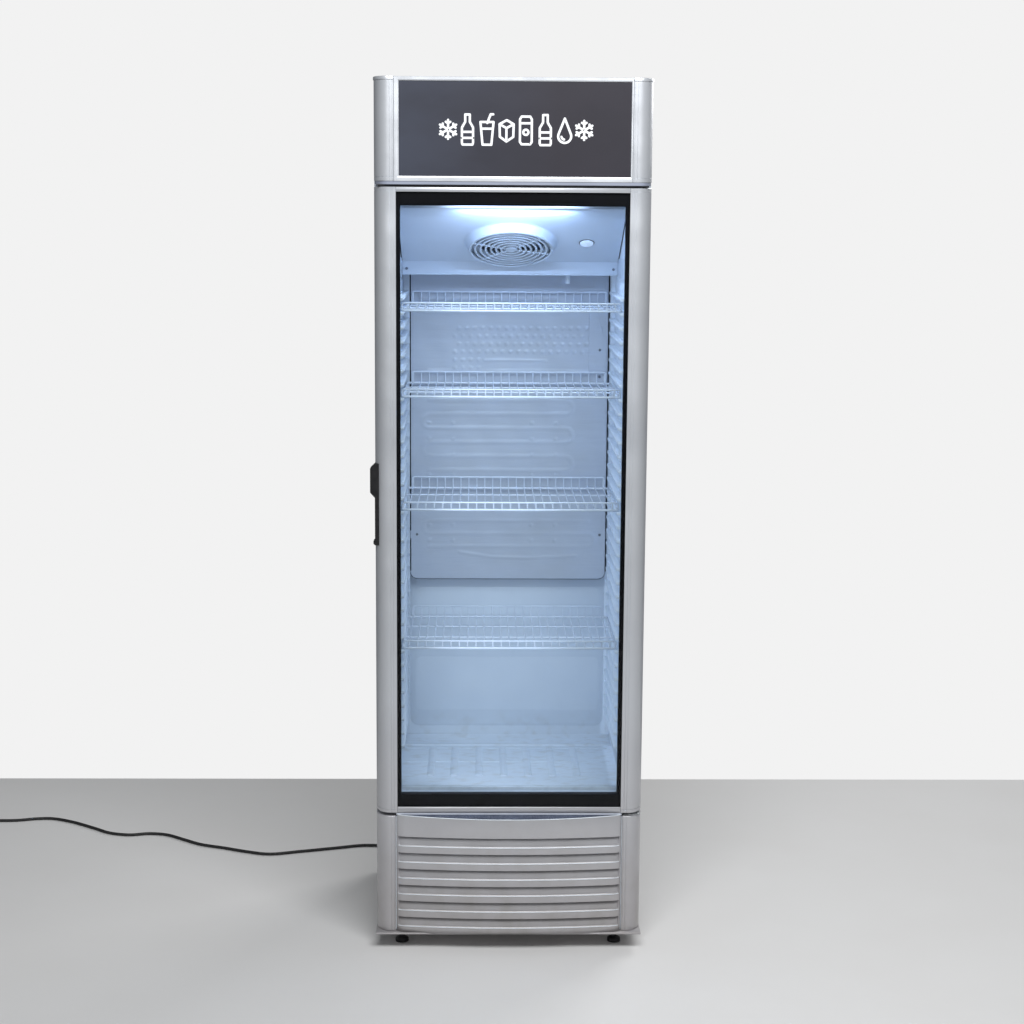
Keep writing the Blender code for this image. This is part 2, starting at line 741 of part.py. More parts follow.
# ---- cooling: inside the cabinet ----------------------------------------------------------
def make_fan_housing():
    """Bent cover under the ceiling, with the fan's round opening in its sloping face."""
    wall = 0.002
    outer = [
        (-0.181, 1.7440),
        (-0.181, 1.7160),
        PANEL_HIGH,
        PANEL_LOW,
        (PANEL_LOW[0], 1.5565),
        (0.170, 1.5565),
    ]
    inner = [
        (0.170, 1.5565 + wall),
        (PANEL_LOW[0] + wall, 1.5565 + wall),
        (PANEL_LOW[0] + wall, PANEL_LOW[1] + wall * 0.8),
        (PANEL_HIGH[0] + wall * 0.6, PANEL_HIGH[1] + wall * 1.1),
        (-0.181 + wall, 1.7160 + wall * 0.9),
        (-0.181 + wall, 1.7440),
    ]
    half = CAVITY_HALF - 0.003
    cover = outline("fan_housing", [outer + inner], -half, half, white, axis="X")
    hole = cylinder("fan_hole", on_panel(0, 0, -0.02), PANEL_OUT, 0.080, 0.05, None, 48, cutters)
    spindle = cylinder("knob_hole", on_panel(KNOB_X, 0, -0.02), PANEL_OUT, 0.005, 0.05, None, 20, cutters)
    return cut(cover, hole, spindle)


def make_fan_guard():
    """Tapered drum with rings and spokes across its face."""
    face, base = 0.0205, 0.0003
    drum = [
        (0.0955, face),
        (0.0975, face),
        (0.1000, face - 0.003),
        (0.1117, base),
        (0.1090, base),
        (0.0970, face - 0.004),
        (0.0955, face - 0.004),
    ]
    place = on_panel(0, 0)
    guard = applied(turned("fan_guard", drum, place, PANEL_OUT, white, steps=32, closed=True))
    low, high = face - 0.0035, face - 0.0005
    for number, radius in enumerate((0.078, 0.056, 0.034)):
        ring = [(radius + 0.003, high), (radius + 0.003, low), (radius - 0.003, low), (radius - 0.003, high)]
        join(guard, applied(turned(f"guard_ring_{number}", ring, place, PANEL_OUT, None, 24, True)))
    hub = [(0.0, high), (0.012, high), (0.012, low), (0.0, low)]
    join(guard, applied(turned("guard_hub", hub, place, PANEL_OUT, None, 12)))
    turn = Vector((0.0, 0.0, 1.0)).rotation_difference(PANEL_OUT).to_matrix().to_4x4()
    for number in range(3):
        bar_low, bar_high = (-0.0965, -0.0018, low + 0.0004), (0.0965, 0.0018, high - 0.0004)
        bar = box(f"guard_bar_{number}", bar_low, bar_high, None)
        bar.data.transform(Matrix.Translation(place) @ turn @ Matrix.Rotation(math.pi * number / 3, 4, "Z"))
        join(guard, bar)
    return guard


def make_fan_blades(name, place, direction, radius, blades, depth):
    """A hub with flat twisted blades, turning about `direction` through `place`; its bore takes the shaft."""
    hub_radius = 0.020
    half = depth / 2
    profile = [
        (0.0033, half),
        (hub_radius - 0.002, half),
        (hub_radius, half - 0.002),
        (hub_radius, -half),
        (0.0033, -half),
    ]
    fan = turned(name, profile, (0, 0, 0), (0, 0, 1), black, steps=16, closed=True)
    fan = applied(fan)
    root = hub_radius - 0.004
    for number in range(blades):
        blade = box(f"{name}_{number}", (root, -0.020, -0.0009), (radius, 0.020, 0.0009), None)
        twist = Matrix.Rotation(math.radians(24), 4, "X")
        around = Matrix.Rotation(2 * math.pi * number / blades, 4, "Z")
        blade.data.transform(around @ twist)
        join(fan, blade)
    turn = Vector((0.0, 0.0, 1.0)).rotation_difference(Vector(direction)).to_matrix().to_4x4()
    fan = applied(fan)
    fan.matrix_world = Matrix.Translation(place) @ turn
    return smooth(fan)


def make_motor(name, place, direction, radius, length, shaft, arms):
    """A motor can with its shaft pointing along `direction` and, if asked for, radial mounting arms."""
    profile = [
        (0.0, shaft),
        (0.003, shaft),
        (0.003, 0.0),
        (radius * 0.6, 0.0),
        (radius, -0.005),
        (radius, -length + 0.004),
        (radius * 0.8, -length),
        (0.0, -length),
    ]
    motor = applied(turned(name, profile, place, direction, black_paint, steps=20))
    turn = Vector((0.0, 0.0, 1.0)).rotation_difference(Vector(direction)).to_matrix().to_4x4()
    count, reach = arms
    for number in range(count):
        bar = box(f"{name}_arm_{number}", (radius - 0.006, -0.004, -0.014), (reach, 0.004, -0.011), None)
        around = Matrix.Rotation(2 * math.pi * (number + 0.5) / count, 4, "Z")
        bar.data.transform(Matrix.Translation(place) @ turn @ around)
        join(motor, bar)
    return motor


def make_evaporator():
    make_fan_housing()
    make_fan_guard()
    make_fan_blades("evaporator_fan_blade", on_panel(0, 0, -0.016), PANEL_OUT, 0.074, 5, 0.018)
    make_motor("evaporator_fan_motor", on_panel(0, 0, -0.031), PANEL_OUT, 0.027, 0.042, 0.020, (0, 0))
    corner = 0.0175
    low, high, half = 0.7975, 1.6200, 0.2435
    loop = []
    for cx, cz, start in ((half - corner, low + corner, -90), (-half + corner, low + corner, 180)):
        for step in range(7):
            angle = math.radians(start + 15 * step)
            loop.append((cx + corner * math.cos(angle), cz + corner * math.sin(angle)))
        if start == -90:
            loop += [(half, high), (-half, high)]
    outline("evaporator_plate", [loop], 0.1755, 0.1770, aluminium, axis="Y")
    box("interior_light", (-0.200, -0.2020, 1.7260), (0.200, -0.1830, 1.7400), light, bevel=0.003)


def make_knob():
    """Thermostat knob on the sloping panel, with its spindle through the panel."""
    profile = [
        (0.0, 0.0065),
        (0.0145, 0.0065),
        (0.0165, 0.0050),
        (0.0175, 0.0006),
        (0.0040, 0.0006),
        (0.0040, -0.0100),
        (0.0, -0.0100),
    ]
    return turned("thermostat_knob", profile, on_panel(KNOB_X, 0), PANEL_OUT, white, steps=24)


# ---- cooling: machine bay -----------------------------------------------------------------
def make_compressor():
    """Welded oval can on a pressed foot plate."""
    base = BASE_HIGH + 0.0120
    profile = [
        (0.0, 0.168),
        (0.030, 0.166),
        (0.058, 0.154),
        (0.076, 0.128),
        (0.080, 0.096),
        (0.084, 0.093),
        (0.084, 0.087),
        (0.080, 0.084),
        (0.078, 0.040),
        (0.066, 0.012),
        (0.044, 0.0),
        (0.0, 0.0),
    ]
    can = turned("compressor", profile, (COMPRESSOR_X, COMPRESSOR_Y, base), (0, 0, 1), black_paint, steps=24)
    can = applied(can)
    plate_low = (COMPRESSOR_X - 0.100, COMPRESSOR_Y - 0.075, base + 0.003)
    plate_high = (COMPRESSOR_X + 0.100, COMPRESSOR_Y + 0.075, base + 0.006)
    join(can, box("compressor_plate", plate_low, plate_high, None))
    for number, (dx, dy) in enumerate(((-0.086, -0.062), (0.086, -0.062), (-0.086, 0.062), (0.086, 0.062))):
        at = (COMPRESSOR_X + dx, COMPRESSOR_Y + dy, BASE_HIGH + GAP)
        join(can, cylinder(f"grommet_{number}", at, (0, 0, 1), 0.009, 0.020, None, 16, cutters))
    low = (COMPRESSOR_X - 0.030, COMPRESSOR_Y - 0.132, base + 0.045)
    high = (COMPRESSOR_X + 0.030, COMPRESSOR_Y - 0.0855, base + 0.115)
    box("electrical_box", low, high, black, bevel=0.003)
    return can


def make_condenser():
    """Coil of one long tube through upright fins, just behind the kick panel."""
    x_low, x_high = CONDENSER_X - 0.105, CONDENSER_X + 0.105
    rows, pitch = 5, 0.036
    first = CONDENSER_Z - pitch * (rows - 1) / 2
    y = -0.140
    points = []
    for row in range(rows):
        z = first + row * pitch
        ends = (x_low, x_high) if row % 2 == 0 else (x_high, x_low)
        points += [(ends[0], y, z), (ends[1], y, z)]
        if row < rows - 1:
            outward = 1 if row % 2 == 0 else -1
            for step in (45, 90, 135):
                angle = math.radians(step)
                x = ends[1] + outward * 0.5 * pitch * math.sin(angle)
                points.append((x, y, z + 0.5 * pitch * (1 - math.cos(angle))))
    coil = tube("condenser_coil", points, 0.0045, black_paint, 1)
    for fin in range(6):
        x = x_low + 0.013 + fin * (x_high - x_low - 0.026) / 5
        low = (x - 0.0008, y - 0.022, first - 0.020)
        high = (x + 0.0008, y + 0.022, first + rows * pitch - 0.010)
        join(coil, box(f"fin_{fin}", low, high, None))
    y_shroud = -0.085
    shroud = box(
        "condenser_shroud",
        (CONDENSER_X - 0.125, y_shroud, BASE_HIGH + GAP),
        (CONDENSER_X + 0.125, y_shroud + 0.003, CONDENSER_Z + 0.118),
        grey_steel,
    )
    hole = (CONDENSER_X, y_shroud - 0.02, CONDENSER_Z)
    cut(shroud, cylinder("shroud_hole", hole, (0, 1, 0), 0.094, 0.05, None, 48, cutters))
    fan_place = (CONDENSER_X, y_shroud + 0.0016, CONDENSER_Z)
    make_fan_blades("condenser_fan_blade", fan_place, (0, -1, 0), 0.086, 5, 0.020)
    motor_place = (CONDENSER_X, y_shroud + 0.0170, CONDENSER_Z)
    motor = make_motor("condenser_fan_motor", motor_place, (0, -1, 0), 0.030, 0.045, 0.018, (4, 0.104))
    for number in range(4):
        angle = math.radians(45 + 90 * number)
        at = (CONDENSER_X + 0.101 * math.cos(angle), y_shroud + 0.0033, CONDENSER_Z + 0.101 * math.sin(angle))
        join(motor, cylinder(f"motor_leg_{number}", at, (0, 1, 0), 0.004, 0.0265, None, 12, cutters))


def make_bay():
    tray_low, tray_high = (-0.285, 0.085, BASE_HIGH + GAP), (-0.010, 0.255, 0.070)
    tray = box("drip_tray", tray_low, tray_high, black)
    inside = box("tray_hollow", (-0.283, 0.087, BASE_HIGH + 0.002), (-0.012, 0.253, 0.090), None)
    cut(tray, inside)
    pipe = [
        (0.0605, 0.150, 0.190),
        (0.045, 0.155, 0.196),
        (0.030, 0.150, 0.210),
        (0.020, 0.120, 0.238),
        (0.014, 0.070, 0.252),
        (0.012, 0.010, 0.252),
        (0.012, -0.060, 0.248),
        (0.010, -0.100, 0.244),
        (-0.002, -0.128, 0.240),
        (-0.016, -0.140, 0.240),
    ]
    tube("discharge_pipe", pipe, 0.0035, copper, 2)
    loops = grid_loops(-0.3070, 0.3070, BASE_HIGH + GAP, KICK_TOP, 3, 8, 0.022, 0.010)
    grille = outline("rear_grille", loops, REAR - SHEET - GAP, REAR - GAP, grey_steel, axis="Y")
    reach = 0.030
    patch_low = (GLAND_X - reach, REAR - SHEET - 0.0001, GLAND_Z - reach)
    patch_high = (GLAND_X + reach, REAR - 0.0005, GLAND_Z + reach)
    join(grille, box("gland_patch", patch_low, patch_high, None))
    at = (GLAND_X, REAR - 0.02, GLAND_Z)
    cut(grille, cylinder("gland_hole", at, (0, 1, 0), 0.0088, 0.04, None, 24, cutters))


# ---- mains lead ---------------------------------------------------------------------------
def make_gland():
    """Strain relief: a clip inside, a flange outside and a sleeve that tapers along the lead."""
    end = 0.040
    profile = [
        (0.0, end),
        (0.0060, end),
        (0.0085, 0.004),
        (0.0130, 0.004),
        (0.0130, 0.0003),
        (0.0083, 0.0003),
        (0.0083, -0.0060),
        (0.0, -0.0060),
    ]
    return turned("cord_gland", profile, (GLAND_X, REAR, GLAND_Z), (0, 1, 0), black, steps=24)


def smooth_route(points, spacing):
    """Points a fixed distance apart on the curve that runs smoothly through the given ones."""
    ends = [points[0]] + list(points) + [points[-1]]
    knots = [Vector(p) for p in ends]
    fine = []
    for a, b, c, d in zip(knots, knots[1:], knots[2:], knots[3:]):
        for step in range(24):
            t = step / 24
            square = (2 * a - 5 * b + 4 * c - d) * t * t
            cube = (3 * b - a - 3 * c + d) * t**3
            fine.append(0.5 * (2 * b + (c - a) * t + square + cube))
    fine.append(knots[-1])
    total = sum((q - p).length for p, q in zip(fine, fine[1:]))
    count = round(total / spacing)
    picked, walked, target = [fine[0]], 0.0, total / count
    for p, q in zip(fine, fine[1:]):
        length = (q - p).length
        while walked + length >= target and len(picked) < count:
            picked.append(p.lerp(q, (target - walked) / length))
            target += total / count
        walked += length
    picked.append(fine[-1])
    return picked


def make_cord():
    route = smooth_route(CORD_ROUTE, 0.0205)
    tube("power_cord", route, CORD_RADIUS, rubber, 2)
    outer, inner = COIL_TURN + 2 * CORD_RADIUS + 0.0005, COIL_TURN - 2 * CORD_RADIUS - 0.0005
    high = 4 * CORD_RADIUS
    ring = [
        (inner + 0.003, high),
        (outer - 0.003, high),
        (outer, high - 0.003),
        (outer, 0.0015),
        (outer - 0.0015, 0.0001),
        (inner + 0.0015, 0.0001),
        (inner, 0.0015),
        (inner, high - 0.003),
    ]
    turned("cord_coil", ring, (COIL_X, COIL_Y, 0.0), (0, 0, 1), rubber, steps=32, closed=True)


def make_plug():
    """Moulded plug lying beside the coil, with a tapered tail, two blades and an earth pin."""
    x, z = COIL_X - COIL_TURN - CORD_RADIUS, 0.0125
    tail_back, body_back, body_front = COIL_Y - 0.0320, COIL_Y - 0.0560, COIL_Y - 0.0980
    half = 0.0130
    low, high = (x - half, body_front, z - 0.0122), (x + half, body_back, z + 0.0122)
    plug = box("power_plug", low, high, black, 0.003)
    at, length = (x, tail_back, z), tail_back - body_back + 0.001
    tail = cylinder("plug_tail", at, (0, -1, 0), 0.0046, length, None, 16, cutters, end_radius=0.0085)
    join(plug, tail)
    for side in (-1, 1):
        low = (x + side * 0.0063 - 0.0008, body_front - 0.018, z - 0.0002)
        high = (x + side * 0.0063 + 0.0008, body_front + 0.001, z + 0.0062)
        join(plug, box(f"plug_blade_{side}", low, high, None))
    pin = (x, body_front + 0.001, z - 0.0062)
    join(plug, cylinder("plug_pin", pin, (0, -1, 0), 0.0024, 0.021, None, 16, cutters))
    return plug


# ---- the object ---------------------------------------------------------------------------
make_core()
make_liner()
make_shelf_supports()
make_front_frame()
make_skins()
make_base()
make_kick()
make_header()
make_canopy()
make_hinges()
make_door()
make_shelves()
make_evaporator()
make_knob()
make_compressor()
make_condenser()
make_bay()
make_gland()
make_cord()
make_plug()
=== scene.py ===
"""Glass door merchandiser: the visible model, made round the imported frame.

Units are metres. +Z is up, the front faces -Y and the origin is on the floor under the middle.
"""

import math

import bmesh
import bpy
import numpy as np
from mathutils import Matrix, Vector


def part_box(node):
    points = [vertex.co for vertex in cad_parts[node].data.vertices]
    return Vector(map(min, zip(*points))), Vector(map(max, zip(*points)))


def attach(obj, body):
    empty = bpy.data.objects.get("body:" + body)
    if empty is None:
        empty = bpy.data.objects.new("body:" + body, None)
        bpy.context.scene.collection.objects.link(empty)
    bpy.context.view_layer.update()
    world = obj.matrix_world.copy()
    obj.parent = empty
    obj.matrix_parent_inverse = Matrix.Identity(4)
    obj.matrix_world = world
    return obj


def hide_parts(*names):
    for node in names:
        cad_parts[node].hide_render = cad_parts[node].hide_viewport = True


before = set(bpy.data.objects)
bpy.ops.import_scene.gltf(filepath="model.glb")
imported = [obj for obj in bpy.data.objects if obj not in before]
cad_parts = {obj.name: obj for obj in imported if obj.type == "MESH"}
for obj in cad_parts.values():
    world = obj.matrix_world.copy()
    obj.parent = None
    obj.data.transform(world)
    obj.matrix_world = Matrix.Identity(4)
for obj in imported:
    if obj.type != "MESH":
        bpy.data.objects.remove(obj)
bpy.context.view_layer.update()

# ---- places read from the frame -----------------------------------------------------------
GAP = 0.0003
HEADER_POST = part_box("header_post_right")
HEADER_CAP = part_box("header_cap_right")
DOOR_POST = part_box("door_post_right")
KICK_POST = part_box("kick_post_right")
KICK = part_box("kick_panel")
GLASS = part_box("outer_glass")
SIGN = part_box("sign_panel")
SIGN_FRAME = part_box("sign_frame")
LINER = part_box("inner_liner")
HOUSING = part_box("fan_housing")
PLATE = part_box("evaporator_plate")
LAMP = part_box("interior_light")
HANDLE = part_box("door_handle")
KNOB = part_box("thermostat_knob")
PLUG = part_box("power_plug")

HALF_WIDTH = DOOR_POST[1].x
FRONT = DOOR_POST[0].y
DOOR_BACK = DOOR_POST[1].y
POST_FLAT = HALF_WIDTH - 0.034  # a post's front is flat up to this X
POST_DEPTH = DOOR_BACK - FRONT
HEADER_INNER = HEADER_POST[0].x
THICK = 0.0015  # of the liner
CAVITY_HALF = LINER[1].x - THICK
CAVITY_BACK = LINER[1].y - THICK
CAVITY_LOW = LINER[0].z + THICK
CAVITY_HIGH = LINER[1].z - THICK
PANEL_HIGH = Vector((0.0, -0.126, 1.696))  # creases of the fan housing's sloping panel
PANEL_LOW = Vector((0.0, 0.102, 1.588))
ALONG = (PANEL_LOW - PANEL_HIGH).normalized()
OUT = Vector((0.0, ALONG.z, -ALONG.y))  # the way the sloping panel faces
FAN = Vector((0.0, -0.0006, 1.6365))
KNOB_MIDDLE = (KNOB[0] + KNOB[1]) / 2
CORD_RADIUS = 0.004

# The mains lead's route along the floor, the same points as its solid follows.
CORD_ROUTE = (
    (-0.200, 0.3253, 0.1000),
    (-0.200, 0.352, 0.0985),
    (-0.203, 0.374, 0.0850),
    (-0.209, 0.388, 0.0560),
    (-0.219, 0.402, 0.0250),
    (-0.236, 0.421, 0.0060),
    (-0.262, 0.438, 0.0041),
    (-0.304, 0.452, 0.0041),
    (-0.348, 0.456, 0.0041),
    (-0.392, 0.455, 0.0041),
    (-0.444, 0.438, 0.0041),
    (-0.550, 0.406, 0.0041),
    (-0.627, 0.385, 0.0041),
    (-0.690, 0.403, 0.0041),
    (-0.754, 0.433, 0.0041),
    (-0.822, 0.462, 0.0041),
    (-0.873, 0.501, 0.0041),
    (-0.928, 0.543, 0.0041),
    (-0.980, 0.553, 0.0041),
    (-1.030, 0.542, 0.0041),
    (-1.087, 0.558, 0.0041),
    (-1.137, 0.598, 0.0041),
    (-1.205, 0.650, 0.0041),
    (-1.267, 0.682, 0.0041),
    (-1.315, 0.682, 0.0041),
    (-1.370, 0.667, 0.0041),
    (-1.430, 0.6655, 0.0041),
    (-1.491, 0.6655, 0.0041),
)
COIL_MIDDLE = Vector((-1.520, 0.616, 0.0041))
COIL_TURN = 0.045


# ---- materials ----------------------------------------------------------------------------
def srgb(red, green, blue):
    """A colour given as 0 to 255 for each channel, in the linear form that shaders take."""
    linear = [((c / 255 + 0.055) / 1.055) ** 2.4 if c > 10 else c / 255 / 12.92 for c in (red, green, blue)]
    return (*linear, 1.0)


class Paint:
    """A Principled material whose textures follow the place at rest, in metres."""

    def __init__(self, name, colour, roughness, **settings):
        self.made = bpy.data.materials.new(name)
        self.made.use_nodes = True
        self.tree = self.made.node_tree
        self.shader = self.tree.nodes["Principled BSDF"]
        self.shader.inputs["Base Color"].default_value = srgb(*colour)
        self.shader.inputs["Roughness"].default_value = roughness
        for key, value in settings.items():
            self.shader.inputs[key.replace("_", " ")].default_value = value
        self.place = self.add("ShaderNodeTexCoord").outputs["Object"]

    def add(self, kind, inputs=None, **settings):
        node = self.tree.nodes.new(kind)
        for key, value in settings.items():
            setattr(node, key, value)
        for key, value in (inputs or {}).items():
            if isinstance(value, bpy.types.NodeSocket):
                self.tree.links.new(value, node.inputs[key])
            else:
                node.inputs[key].default_value = value
        return node

    def stretched(self, stretch):
        return self.add("ShaderNodeMapping", {"Vector": self.place, "Scale": stretch}).outputs[0]

    def noise(self, scale, stretch=(1, 1, 1), detail=2.0):
        inputs = {"Vector": self.stretched(stretch), "Scale": scale, "Detail": detail}
        return self.add("ShaderNodeTexNoise", inputs).outputs[0]

    def cells(self, scale, output=0):
        inputs = {"Vector": self.stretched((1, 1, 1)), "Scale": scale}
        return self.add("ShaderNodeTexVoronoi", inputs).outputs[output]

    def along(self, axis):
        return self.add("ShaderNodeSeparateXYZ", {0: self.place}).outputs[axis]

    def band(self, value, low, high, bottom=0.0, top=1.0):
        inputs = {"Value": value, "From Min": low, "From Max": high, "To Min": bottom, "To Max": top}
        return self.add("ShaderNodeMapRange", inputs).outputs[0]

    def maths(self, operation, one, two=0.5):
        return self.add("ShaderNodeMath", {0: one, 1: two}, operation=operation).outputs[0]

    def times(self, one, two):
        return self.maths("MULTIPLY", one, two)

    def colour(self, factor, shade):
        """Mixes `shade` over what the base colour is so far, as much as `factor` says."""
        socket = self.shader.inputs["Base Color"]
        under = socket.links[0].from_socket if socket.links else tuple(socket.default_value)
        mix = self.add("ShaderNodeMix", {0: factor, 6: under, 7: srgb(*shade)}, data_type="RGBA")
        self.tree.links.new(mix.outputs[2], socket)
        return self

    def clouds(self, scale, low, high, share, shade, stretch=(1, 1, 1), detail=2.0):
        """Cloudy patches of another shade, at most as strong as `share`."""
        return self.colour(self.band(self.noise(scale, stretch, detail), low, high, 0.0, share), shade)

    def rough(self, factor, low, high):
        self.tree.links.new(self.band(factor, 0.3, 0.7, low, high), self.shader.inputs["Roughness"])
        return self

    def bump(self, height, distance):
        """Adds relief of about `distance` metres on top of what is there."""
        socket = self.shader.inputs["Normal"]
        inputs = {"Height": height, "Distance": distance}
        if socket.links:
            inputs["Normal"] = socket.links[0].from_socket
        self.tree.links.new(self.add("ShaderNodeBump", inputs).outputs[0], socket)
        return self

    def grain(self, scale, distance, stretch=(1, 1, 1)):
        return self.bump(self.noise(scale, stretch), distance)

    def glow(self, strength, shade):
        """Gives off light: `strength` is a number, or a socket that varies over the piece."""
        if isinstance(strength, bpy.types.NodeSocket):
            self.tree.links.new(strength, self.shader.inputs["Emission Strength"])
        else:
            self.shader.inputs["Emission Strength"].default_value = strength
        self.shader.inputs["Emission Color"].default_value = srgb(*shade)
        return self


def make_silver():
    """Satin metallic paint, darker and warmer towards the floor as painted shade, with grime patches low
    down.
    """
    paint = Paint("silver_paint", (212, 215, 220), 0.36, Metallic=0.48)
    paint.clouds(2600.0, 0.45, 0.8, 0.35, (160, 163, 168))
    paint.clouds(7.0, 0.45, 0.75, 0.30, (190, 194, 202), detail=4.0)
    # Painted shade: darker and warmer from 0.6 m down to the floor.
    paint.colour(paint.band(paint.along(2), 0.60, 0.10, 0.0, 0.75), (176, 171, 172))
    floor_dirt = paint.band(paint.along(2), 0.36, 0.05, 0.0, 0.40)
    patches = paint.band(paint.noise(24.0, (1.0, 1.0, 0.6), 5.0), 0.40, 0.70, 0.2, 1.0)
    paint.colour(paint.times(floor_dirt, patches), (150, 144, 136))
    paint.rough(paint.noise(18.0, detail=4.0), 0.30, 0.44)
    return paint.grain(900.0, 0.00004).grain(60.0, 0.00010).made


def make_grey_steel():
    """Pre-painted grey sheet with orange peel and faint handling marks."""
    paint = Paint("grey_enamel", (186, 189, 193), 0.40)
    paint.clouds(5.0, 0.42, 0.72, 0.35, (168, 171, 177), detail=4.0)
    paint.clouds(16.0, 0.62, 0.72, 0.35, (205, 207, 210), (6.0, 6.0, 0.4), 6.0)
    paint.colour(paint.band(paint.along(2), 0.30, 0.05, 0.0, 0.30), (146, 140, 131))
    paint.rough(paint.noise(12.0, detail=3.0), 0.32, 0.50)
    return paint.grain(480.0, 0.00008).grain(3.0, 0.0015).made


def make_zinc():
    """Hot-dip zinc with its crystal spangle."""
    paint = Paint("galvanised", (178, 181, 182), 0.38, Metallic=0.9)
    spangle = paint.add("ShaderNodeRGBToBW", {0: paint.cells(130.0, output=1)}).outputs[0]
    paint.colour(paint.band(spangle, 0.2, 0.8, 0.0, 0.6), (140, 144, 148))
    paint.clouds(14.0, 0.5, 0.75, 0.4, (196, 196, 190), detail=5.0)
    return paint.rough(spangle, 0.30, 0.55).bump(spangle, 0.00004).made


def make_white_plastic(wall_glow=0.0):
    """Moulded white liner plastic with fine texture and a little grime low down.

    `wall_glow` is a weak glow for the hinge side's wall. It isn't how the plastic behaves: that
    wall rendered darker than the photograph shows it, and this makes up the difference.
    """
    paint = Paint("liner_plastic", (214, 222, 232), 0.42)
    paint.clouds(9.0, 0.4, 0.72, 0.30, (196, 206, 220), detail=4.0)
    low = paint.band(paint.along(2), 0.46, 0.378, 0.0, 0.35)
    grime = paint.band(paint.noise(34.0, (1.0, 1.4, 1.0), 5.0), 0.5, 0.72, 0.0, 1.0)
    paint.colour(paint.times(low, grime), (170, 164, 150))
    paint.rough(paint.noise(20.0), 0.36, 0.50)
    if wall_glow:
        paint.glow(paint.band(paint.along(0), 0.2360, 0.2440, 0.0, wall_glow), (206, 226, 255))
    return paint.grain(650.0, 0.00007).grain(14.0, 0.00006, (2, 2, 0.5)).made


def make_sign_face():
    """Charcoal acrylic with dust, and a painted reflection that makes it a little lighter and bluer to the
    left.
    """
    paint = Paint("sign_acrylic", (50, 48, 55), 0.50, Specular_IOR_Level=0.22)
    # Painted reflection: a little lighter and bluer towards the left.
    paint.colour(paint.band(paint.along(0), 0.10, -0.255, 0.0, 0.8), (62, 67, 80))
    paint.clouds(5.0, 0.42, 0.7, 0.4, (42, 41, 47), (1, 1, 2), 4.0)
    paint.colour(paint.band(paint.cells(260.0), 0.10, 0.03, 0.0, 0.3), (100, 102, 108))
    return paint.rough(paint.noise(11.0, detail=3.0), 0.48, 0.62).grain(90.0, 0.00004).made


def make_black_paint():
    """Black machine enamel under a film of dust."""
    paint = Paint("machine_enamel", (30, 31, 33), 0.36)
    up = paint.add("ShaderNodeNewGeometry").outputs["Normal"]
    upward = paint.add("ShaderNodeSeparateXYZ", {0: up}).outputs[2]
    patches = paint.band(paint.noise(55.0, detail=5.0), 0.35, 0.65)
    paint.colour(paint.times(paint.band(upward, 0.2, 1.0), patches), (104, 100, 94))
    return paint.rough(paint.noise(40.0, detail=3.0), 0.28, 0.52).grain(420.0, 0.0001).made


def make_aluminium():
    """Coated aluminium plate, drawn in fine level lines."""
    paint = Paint("drawn_aluminium", (203, 209, 221), 0.42, Metallic=0.30)
    lines = paint.noise(60.0, (0.4, 1.0, 14.0), 5.0)
    paint.colour(paint.band(lines, 0.35, 0.7, 0.0, 0.35), (182, 192, 208))
    paint.clouds(6.0, 0.42, 0.7, 0.35, (188, 192, 198), (1, 1, 2.5), 4.0)
    return paint.rough(lines, 0.34, 0.52).bump(lines, 0.00012).grain(24.0, 0.0006, (0.5, 1, 3)).made


def make_lens():
    """Glowing diffuser with fine ripples."""
    paint = Paint("lamp_lens", (240, 244, 255), 0.4).glow(7.0, (214, 226, 255))
    ripple = paint.noise(700.0, (0.2, 1, 1))
    return paint.colour(paint.band(ripple, 0.4, 0.7, 0.0, 0.3), (205, 214, 240)).bump(ripple, 0.0001).made


def make_lit_cover():
    """White cover with painted light from the lamp: it glows beside the lamp and along its upper edge, less
    so towards the walls.
    """
    paint = Paint("lit_cover", (214, 222, 232), 0.42)
    paint.clouds(11.0, 0.4, 0.72, 0.25, (198, 208, 222), detail=4.0)
    away = paint.maths("ABSOLUTE", paint.maths("SUBTRACT", paint.along(0), LAMP_MIDDLE))
    edge = paint.times(paint.band(paint.along(1), -0.1800, -0.1806), paint.band(away, 0.110, 0.146, 2.0, 0.0))
    edge = paint.times(edge, paint.band(paint.along(2), 1.7180, 1.7195))
    paint.glow(paint.maths("ADD", paint.band(away, 0.010, 0.140, 0.34, 0.0), edge), (205, 224, 255))
    return paint.grain(650.0, 0.00006).made


def make_foam():
    paint = Paint("foam_core", (226, 214, 172), 0.9)
    cells = paint.cells(420.0)
    return paint.colour(paint.band(cells, 0.0, 0.6, 0.0, 0.5), (190, 174, 128)).bump(cells, 0.0008).made


def make_black_plastic():
    """Grained black moulding with dust in the grain."""
    paint = Paint("black_moulding", (17, 17, 19), 0.42)
    paint.clouds(60.0, 0.5, 0.75, 0.30, (40, 39, 42), detail=5.0)
    return paint.rough(paint.noise(90.0, detail=3.0), 0.36, 0.56).bump(paint.cells(1500.0), 0.00008).made


def make_glass():
    """Clear pane: what is behind shows through, with a soft reflection that grows at a slant."""
    pane = Paint("pane_glass", (255, 255, 255), 0.0)
    clear = pane.add("ShaderNodeBsdfTransparent", {"Color": (0.955, 0.975, 0.985, 1.0)}).outputs[0]
    smear = pane.add("ShaderNodeTexNoise", {"Vector": pane.place, "Scale": 7.0, "Detail": 6.0}).outputs[0]
    haze = pane.band(smear, 0.4, 0.75, 0.02, 0.10)
    shine = pane.add("ShaderNodeBsdfGlossy", {"Roughness": haze}).outputs[0]
    slant = pane.times(pane.add("ShaderNodeFresnel", {"IOR": 1.40}).outputs[0], 0.25)
    mix = pane.add("ShaderNodeMixShader", {0: slant, 1: clear, 2: shine})
    pane.tree.links.new(mix.outputs[0], pane.tree.nodes["Material Output"].inputs["Surface"])
    pane.tree.nodes.remove(pane.shader)
    return pane.made


LAMP_MIDDLE = 0.0075  # the lit strip's middle across the cabinet

SILVER = make_silver()
